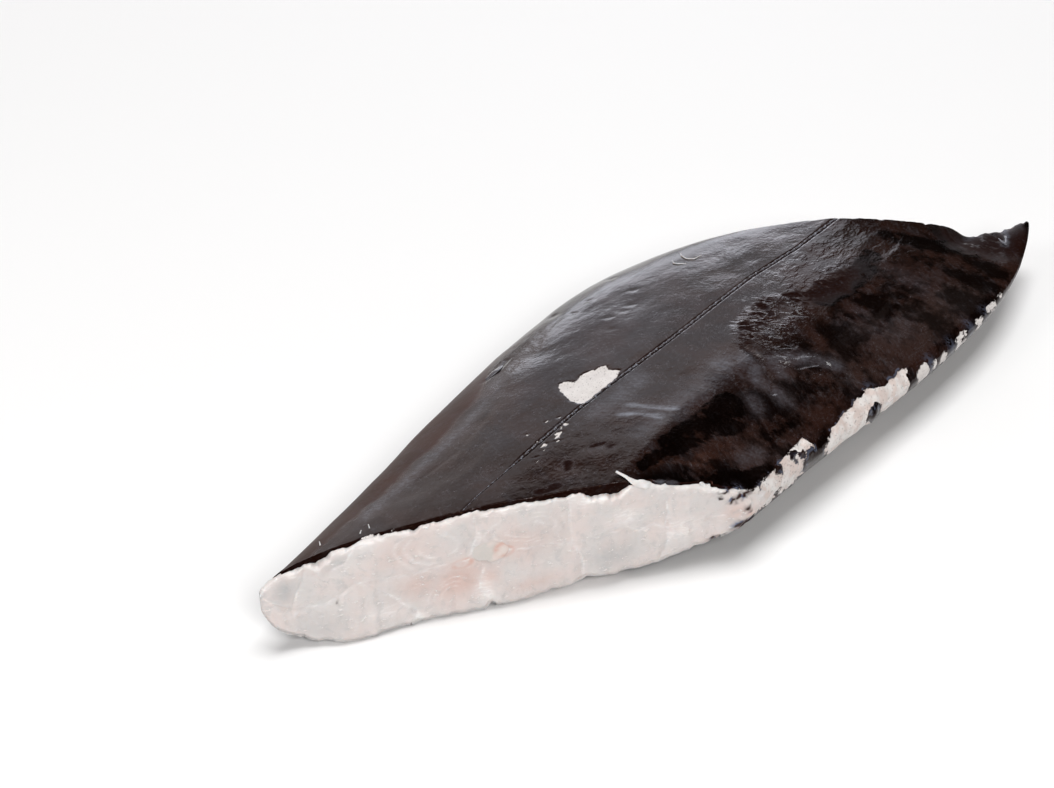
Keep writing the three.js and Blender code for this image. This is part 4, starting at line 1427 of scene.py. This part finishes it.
def build_flesh(settings, skin_settings):
    """The flesh as one closed body just inside the skin, with detailed cut faces."""
    across = bunched(FLESH_COLUMNS, COLUMN_BUNCHING)
    up = bunched(FACE_ROWS, ROW_BUNCHING)
    along = np.linspace(0, 1, FLESH_ROWS + 1)[:, None]
    inside = lerp(FLESH_MARGIN, 1 - FLESH_MARGIN, across)[None, :]
    lower = skin_points(along, inside, 0.0)
    upper = skin_points(along, inside, 1.0)
    thickness = upper[..., 2] - lower[..., 2]
    from_cut = smoothstep(np.minimum(along, 1 - along), 0.0, DRAW_REACH)
    drawn = settings.skin_gap / MM + settings.inner_gap / MM * from_cut
    pull = np.minimum(drawn, MOST_DRAWN * thickness)
    upper[..., 2] -= pull
    lower[..., 2] += pull
    ends = ((0, 0, FRONT_OUTWARD), (-1, 1, BACK_OUTWARD))
    for row, end, outward in ends:
        upper[row, :, 2] += skin_relief(upper[row], np.ones_like(across), skin_settings)
        lower[row] = uneven_foot(lower[row], across, thickness[row], end, outward)

    points = []
    top = np.arange(upper[..., 0].size).reshape(upper.shape[:2])
    bottom = top + top.size
    bottom[:, 0] = top[:, 0]
    bottom[:, -1] = top[:, -1]
    quads = [grid_faces(top), grid_faces(bottom[:, ::-1])]
    tints = {key: [np.full(2 * top.size, value)] for key, value in PLAIN_TINTS.items()}

    made = 2 * top.size
    for row, end, outward in ends:
        face = lerp(lower[row][None, :], upper[row][None, :], up[:, None, None])
        depth = np.broadcast_to(upper[row, :, 2] - lower[row, :, 2], face.shape[:2])
        grid = np.broadcast_to(across, face.shape[:2])
        levels = np.broadcast_to(up[:, None], grid.shape)
        relief, face_tints = face_detail(face, grid, levels, depth, float(end), settings)
        face = face + outward * relief[..., None]
        rim_along = np.abs(end + relief[-1] / ROW_TO_CUT)
        rim = skin_points(rim_along, inside[0], 1.0)
        rim[:, 2] -= pull[row]
        upper[row, 1:-1] = rim[1:-1]
        index = np.empty(grid.shape, int)
        index[0], index[-1] = bottom[row], top[row]
        index[:, 0], index[:, -1] = top[row, 0], top[row, -1]
        inner = (FACE_ROWS - 1) * (FLESH_COLUMNS - 1)
        index[1:-1, 1:-1] = made + np.arange(inner).reshape(FACE_ROWS - 1, FLESH_COLUMNS - 1)
        points.append(face[1:-1, 1:-1].reshape(-1, 3))
        for key, values in face_tints.items():
            tints[key].append(values[1:-1, 1:-1].ravel())
            tints[key][0][top[row]] = values[-1]
            tints[key][0][top.size + np.arange(top.size).reshape(top.shape)[row]] = values[0]
        quads.append(grid_faces(index if row == 0 else index[:, ::-1]))
        made += inner

    points = np.concatenate([upper.reshape(-1, 3), lower.reshape(-1, 3), *points])
    points[:, 2] = np.maximum(points[:, 2], FLESH_FLOOR)
    attributes = {key: np.concatenate(values) for key, values in tints.items()}
    piece = add_piece(
        "flesh", points, np.concatenate(quads), attributes, flesh_finish(settings)
    )
    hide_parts("steak")


# Backbone.
def build_backbone(settings):
    """A row of joined vertebrae from cut to cut, waisted between their rims, with dished ends."""
    ends = []
    for along in (0.0, 1.0):
        across = lerp(*BONE_PLACE, along)
        ends.append(lerp(skin_points(along, across, 0.0), skin_points(along, across, 1.0), BONE_HEIGHT))
    axis = ends[1] - ends[0]
    length = np.linalg.norm(axis)
    axis = axis / length
    side = np.cross(axis, (0.0, 0.0, 1.0))
    side /= np.linalg.norm(side)
    raised = np.cross(side, axis)
    angle = np.linspace(0, 2 * np.pi, BONE_SIDES, endpoint=False)
    spoke = np.cos(angle)[:, None] * side + np.sin(angle)[:, None] * raised
    vertebra = settings.vertebra / MM

    def on_cut(radius, sunk, end):
        """A ring on a cut face, sunk a little below it."""
        outward = (FRONT_OUTWARD, BACK_OUTWARD)[end]
        ring = ends[end] + spoke * radius
        slide = ((ends[end] - ring) @ outward - sunk) / (axis @ outward)
        return ring + slide[:, None] * axis

    shares = np.array(BONE_SHARES)
    ridge, ridge_share, ridge_half = DISH_RIDGE
    dish = DISH_DEPTH * (1 - smoothstep(shares, *DISH_RISE)) + DISH_SUNK
    dish = dish - ridge * bell(shares - ridge_share, ridge_half)
    front = [on_cut(BONE_RADIUS * s, sunk, 0) for s, sunk in zip(shares, dish)]
    back = [on_cut(BONE_RADIUS * s, sunk, 1) for s, sunk in zip(shares, dish)]
    first, last = on_cut(BONE_RADIUS, BONE_SUNK, 0), on_cut(BONE_RADIUS, BONE_SUNK, 1)
    tube = []
    for share in np.linspace(0, 1, BONE_ROWS):
        ring = lerp(first, last, share)
        run = (ring - ends[0]) @ axis
        waist = 1 - BONE_WAIST * np.sin(np.pi * run / vertebra) ** 2
        centre = ends[0] + run[:, None] * axis
        tube.append(centre + spoke * (BONE_RADIUS * waist)[:, None])
    rows = np.array([*front, *tube, *back[::-1]])
    radii = [*shares, *np.ones(len(tube)), *shares[::-1]]
    right = np.array(radii)[:, None] * np.cos(angle)
    rise = np.array(radii)[:, None] * np.sin(angle)
    core, marrow = (
        np.hypot((right - middle) / half_width, rise / half_height)
        for middle, half_width, half_height in (CORE_OVAL, MARROW_OVAL)
    )
    ring_share, ring_half = MARROW_RING
    attributes = {
        "core": 1 - smoothstep(core + rough(rows, CORE_RAGGED), *CORE_FADE),
        "pink": bell(marrow - ring_share, ring_half) * smoothstep(rough(rows, MARROW_GAPS), -0.6, 0.3),
    }
    for key, values in attributes.items():
        attributes[key] = np.concatenate([values.ravel(), [values[0].mean(), values[-1].mean()]])
    points, quads = capped_tube(rows)
    piece = add_piece("backbone_row", points, quads, attributes, bone_finish(settings))
    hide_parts("backbone")


# Stage.
def aim(piece, target):
    piece.rotation_mode = "QUATERNION"
    piece.rotation_quaternion = (Vector(target) - piece.location).to_track_quat("-Z", "Y")


def add_panel_light(name, place, target, size, radiance, colour):
    """A rectangular light, as bright as its radiance says whatever its size."""
    light = bpy.data.lights.new(name, "AREA")
    light.shape = "RECTANGLE"
    light.size, light.size_y = size
    light.energy = radiance * math.pi * size[0] * size[1]
    light.color = colour
    panel = bpy.data.objects.new(name, light)
    panel.location = place
    panel.visible_camera = False
    bpy.context.scene.collection.objects.link(panel)
    aim(panel, target)


def add_back_panels(brightness):
    """Upright panels behind the steak, each facing it."""
    for number, (start, end, low, high, share, colour) in enumerate(BACK_PANELS):
        turn, half = math.radians((start + end) / 2), math.radians((end - start) / 2)
        bottom, top = (BACK_DISTANCE * math.tan(math.radians(rise)) for rise in (low, high))
        level = (bottom + top) / 2
        place = (BACK_DISTANCE * math.sin(turn), BACK_DISTANCE * math.cos(turn), level)
        size = (2 * BACK_DISTANCE * math.tan(half), top - bottom)
        add_panel_light(f"back_panel_{number}", place, (0.0, 0.0, level), size, share * brightness, colour)


def build_stage(settings):
    """Pale floor, soft lights, world and camera."""
    half = settings.floor_size / 2
    mesh = bpy.data.meshes.new("floor")
    corners = [(-half, -half, 0), (half, -half, 0), (half, half, 0), (-half, half, 0)]
    mesh.from_pydata(corners, [], [(0, 1, 2, 3)])
    mesh.materials.append(floor_finish(settings))
    floor = bpy.data.objects.new("floor", mesh)
    bpy.context.scene.collection.objects.link(floor)

    world = bpy.data.worlds.new("studio")
    world.use_nodes = True
    world.node_tree.nodes["Background"].inputs["Color"].default_value = opaque(settings.sky)
    bpy.context.scene.world = world
    bpy.context.scene.view_settings.view_transform = "Standard"

    add_back_panels(settings.back_light)
    key, fill = settings.key_light, FILL_SHARE * settings.key_light
    add_panel_light("key_panel", KEY_PLACE, STEAK_MIDDLE, (KEY_SIDE, KEY_SIDE), key, KEY_COLOUR)
    add_panel_light("fill_panel", FILL_PLACE, STEAK_MIDDLE, (KEY_SIDE, KEY_SIDE), fill, KEY_COLOUR)
    top = settings.top_light
    add_panel_light("top_panel", TOP_PLACE, STEAK_MIDDLE, (TOP_SIDE, TOP_SIDE), top, TOP_COLOUR)

    camera = bpy.data.objects.new("camera", bpy.data.cameras.new("camera"))
    camera.data.sensor_fit = "HORIZONTAL"
    camera.data.angle = settings.view_angle
    turn, rise = settings.view_turn, settings.view_rise
    back = Vector((math.sin(turn) * math.cos(rise), -math.cos(turn) * math.cos(rise), math.sin(rise)))
    target = Vector(settings.view_target)
    camera.location = target + back * settings.view_distance
    camera.data.clip_start = 0.01
    bpy.context.scene.collection.objects.link(camera)
    aim(camera, target)
    bpy.context.scene.camera = camera


# Settings that a user would change.
def length_prop(name, description, default):
    return FloatProperty(
        name=name, description=description, default=default, min=0.0, precision=5, unit="LENGTH"
    )


def brightness_prop(name, description, default):
    return FloatProperty(name=name, description=description, default=default, min=0.0)


def angle_prop(name, description, degrees):
    return FloatProperty(name=name, description=description, default=math.radians(degrees), unit="ROTATION")


def colour_prop(name, description, default):
    return FloatVectorProperty(
        name=name, description=description, default=default, size=3, min=0.0, max=1.0, subtype="COLOR"
    )


class SkinSettings(bpy.types.PropertyGroup):
    """Sizes and colours of the skin."""

    thickness: length_prop("Thickness", "Thickness of the skin", 0.0005)
    rim_roll: length_prop("Rim roll", "Radius of the skin's rounded edge at a cut", 0.0005)
    line_width: length_prop("Line width", "Width of the lateral line's thread", 0.00055)
    line_height: length_prop("Line height", "Height of the lateral line's thread", 0.0002)
    line_groove: length_prop("Line groove", "Depth of the groove that the lateral line lies in", 0.00018)
    wrinkle: length_prop("Wrinkles", "Height of the wrinkles right of the line", 0.0002)
    deep: colour_prop("Deep", "Darkest skin", (0.012, 0.0045, 0.003))
    brown: colour_prop("Brown", "Brown of thin skin", (0.021, 0.0085, 0.006))
    grey: colour_prop("Grey", "Greyer film on the skin", (0.03, 0.018, 0.016))
    side: colour_prop("Side", "Brown of the left side", (0.06, 0.024, 0.015))
    # The film colour also paints sheen and highlights on the skin, the skin flakes and the lateral line's
    # thread.
    film_and_sheen: colour_prop("Film", "Pale bluish film on the skin", (0.19, 0.2, 0.235))
    # The cut edge colour also paints the shade of the front rim's pocket.
    cut_edge_and_shade: colour_prop("Cut edge", "Skin along a cut", (0.022, 0.0065, 0.004))
    amber: colour_prop("Amber", "Specks along a cut", (0.11, 0.055, 0.02))
    worn: colour_prop("Worn", "White where the skin is rubbed off", (0.72, 0.685, 0.665))
    worn_shade: colour_prop("Worn shade", "Shade in the rubbed places", (0.62, 0.58, 0.56))
    tissue: colour_prop("Tissue", "Pinkish tissue on the trimmed edge", (0.6, 0.47, 0.42))
    blue: colour_prop("Blue", "Bluish film beside a trimmed place", (0.085, 0.1, 0.145))


class FleshSettings(bpy.types.PropertyGroup):
    """Sizes and colours of the flesh."""

    skin_gap: length_prop("Skin gap", "How far the flesh lies inside the skin's outer side at a cut", 0.00042)
    inner_gap: length_prop("Inner gap", "How much further inside it lies away from the cuts", 0.0012)
    bulge: length_prop("Bulge", "How far the muscle blocks stand out at a cut", 0.0009)
    septum: length_prop("Septum", "Depth of the fine grooves between the blocks", 0.00012)
    pale: colour_prop("Pale", "Ordinary flesh", (0.69, 0.622, 0.602))
    cool: colour_prop("Cool", "Cooler flesh", (0.65, 0.617, 0.605))
    pink: colour_prop("Pink", "Flesh near the backbone", (0.63, 0.42, 0.365))
    clear: colour_prop("Clear", "Glassy flesh", (0.48, 0.475, 0.475))
    # The membrane colour also paints the flesh's glints.
    membrane_and_glint: colour_prop("Membrane", "Septa and milky places", (0.86, 0.828, 0.815))
    # The stain colour also paints the shade in the foot's notch.
    stain_and_shade: colour_prop("Stain", "Dark specks", (0.03, 0.01, 0.008))
    blue: colour_prop("Blue", "Bluish specks", (0.1, 0.12, 0.2))


class BoneSettings(bpy.types.PropertyGroup):
    """Sizes and colours of the backbone."""

    vertebra: length_prop("Vertebra", "Length of one vertebra", 0.0105)
    wall: colour_prop("Wall", "The vertebra's wall", (0.73, 0.64, 0.6))
    core: colour_prop("Core", "The glassy middle", (0.62, 0.585, 0.555))
    marrow: colour_prop("Marrow", "Pink at the wall", (0.64, 0.42, 0.36))


class StageSettings(bpy.types.PropertyGroup):
    """Floor, lights and camera."""

    floor_size: length_prop("Floor size", "Side of the floor", 8.0)
    floor: colour_prop("Floor", "Colour of the floor", (0.9, 0.9, 0.9))
    floor_shade: colour_prop("Floor shade", "Colour of the floor's faint grain", (0.8, 0.8, 0.8))
    sky: colour_prop("Sky", "Light from all around", (0.02, 0.015, 0.012))
    back_light: brightness_prop("Back light", "Brightness of the panels behind", 1.48)
    key_light: brightness_prop("Key light", "Brightness of the panels in front", 17.0)
    top_light: brightness_prop("Top light", "Brightness of the panel overhead", 7.0)
    view_angle: angle_prop("View angle", "Width of the view", 24.0)
    view_turn: angle_prop("Turn", "Turn of the camera round the steak", 32.6)
    view_rise: angle_prop("Rise", "Height of the camera as an angle", 33.0)
    view_distance: length_prop("Distance", "From the camera to its target", 0.6486)
    view_target: FloatVectorProperty(
        name="Target", description="What the camera points at", default=(-0.0448, -0.0043, 0.0),
        size=3, subtype="XYZ", unit="LENGTH",
    )


class STEAK_OT_flesh(bpy.types.Operator):
    """Build the flesh with its two cut faces"""

    bl_idname = "steak.flesh"
    bl_label = "Flesh"

    def execute(self, context):
        build_flesh(context.scene.steak_flesh, context.scene.steak_skin)
        return {"FINISHED"}


class STEAK_OT_skin(bpy.types.Operator):
    """Build the skin around the flesh"""

    bl_idname = "steak.skin"
    bl_label = "Skin"

    def execute(self, context):
        build_skin(context.scene.steak_skin)
        return {"FINISHED"}


class STEAK_OT_lateral_line(bpy.types.Operator):
    """Build the lateral line on the skin"""

    bl_idname = "steak.lateral_line"
    bl_label = "Lateral Line"

    def execute(self, context):
        build_lateral_line(context.scene.steak_skin)
        return {"FINISHED"}


class STEAK_OT_shreds(bpy.types.Operator):
    """Build the shreds and flakes that the knife left on the skin"""

    bl_idname = "steak.shreds"
    bl_label = "Shreds"

    def execute(self, context):
        build_shreds(context.scene.steak_skin, context.scene.steak_flesh)
        return {"FINISHED"}


class STEAK_OT_backbone(bpy.types.Operator):
    """Build the backbone that shows at both cuts"""

    bl_idname = "steak.backbone"
    bl_label = "Backbone"

    def execute(self, context):
        build_backbone(context.scene.steak_bone)
        return {"FINISHED"}


class STEAK_OT_stage(bpy.types.Operator):
    """Set up the floor, the lights and the camera"""

    bl_idname = "steak.stage"
    bl_label = "Stage"

    def execute(self, context):
        build_stage(context.scene.steak_stage)
        return {"FINISHED"}


OPERATORS = (
    STEAK_OT_flesh, STEAK_OT_skin, STEAK_OT_lateral_line, STEAK_OT_shreds, STEAK_OT_backbone, STEAK_OT_stage,
)


class STEAK_PT_sidebar(bpy.types.Panel):
    """Lists the steak's pieces"""

    bl_idname = "STEAK_PT_sidebar"
    bl_label = "Steak"
    bl_space_type = "VIEW_3D"
    bl_region_type = "UI"
    bl_category = "Steak"

    def draw(self, context):
        for operator in OPERATORS:
            self.layout.operator(operator.bl_idname)


SETTINGS = {
    "steak_skin": SkinSettings,
    "steak_flesh": FleshSettings,
    "steak_bone": BoneSettings,
    "steak_stage": StageSettings,
}
CLASSES = (*SETTINGS.values(), *OPERATORS, STEAK_PT_sidebar)


def register():
    for item in CLASSES:
        bpy.utils.register_class(item)
    for name, group in SETTINGS.items():
        setattr(bpy.types.Scene, name, PointerProperty(type=group))


def unregister():
    for name in SETTINGS:
        delattr(bpy.types.Scene, name)
    for item in reversed(CLASSES):
        bpy.utils.unregister_class(item)


def main():
    register()
    bpy.ops.steak.flesh()
    bpy.ops.steak.skin()
    bpy.ops.steak.lateral_line()
    bpy.ops.steak.shreds()
    bpy.ops.steak.backbone()
    bpy.ops.steak.stage()


if __name__ == "__main__":
    main()
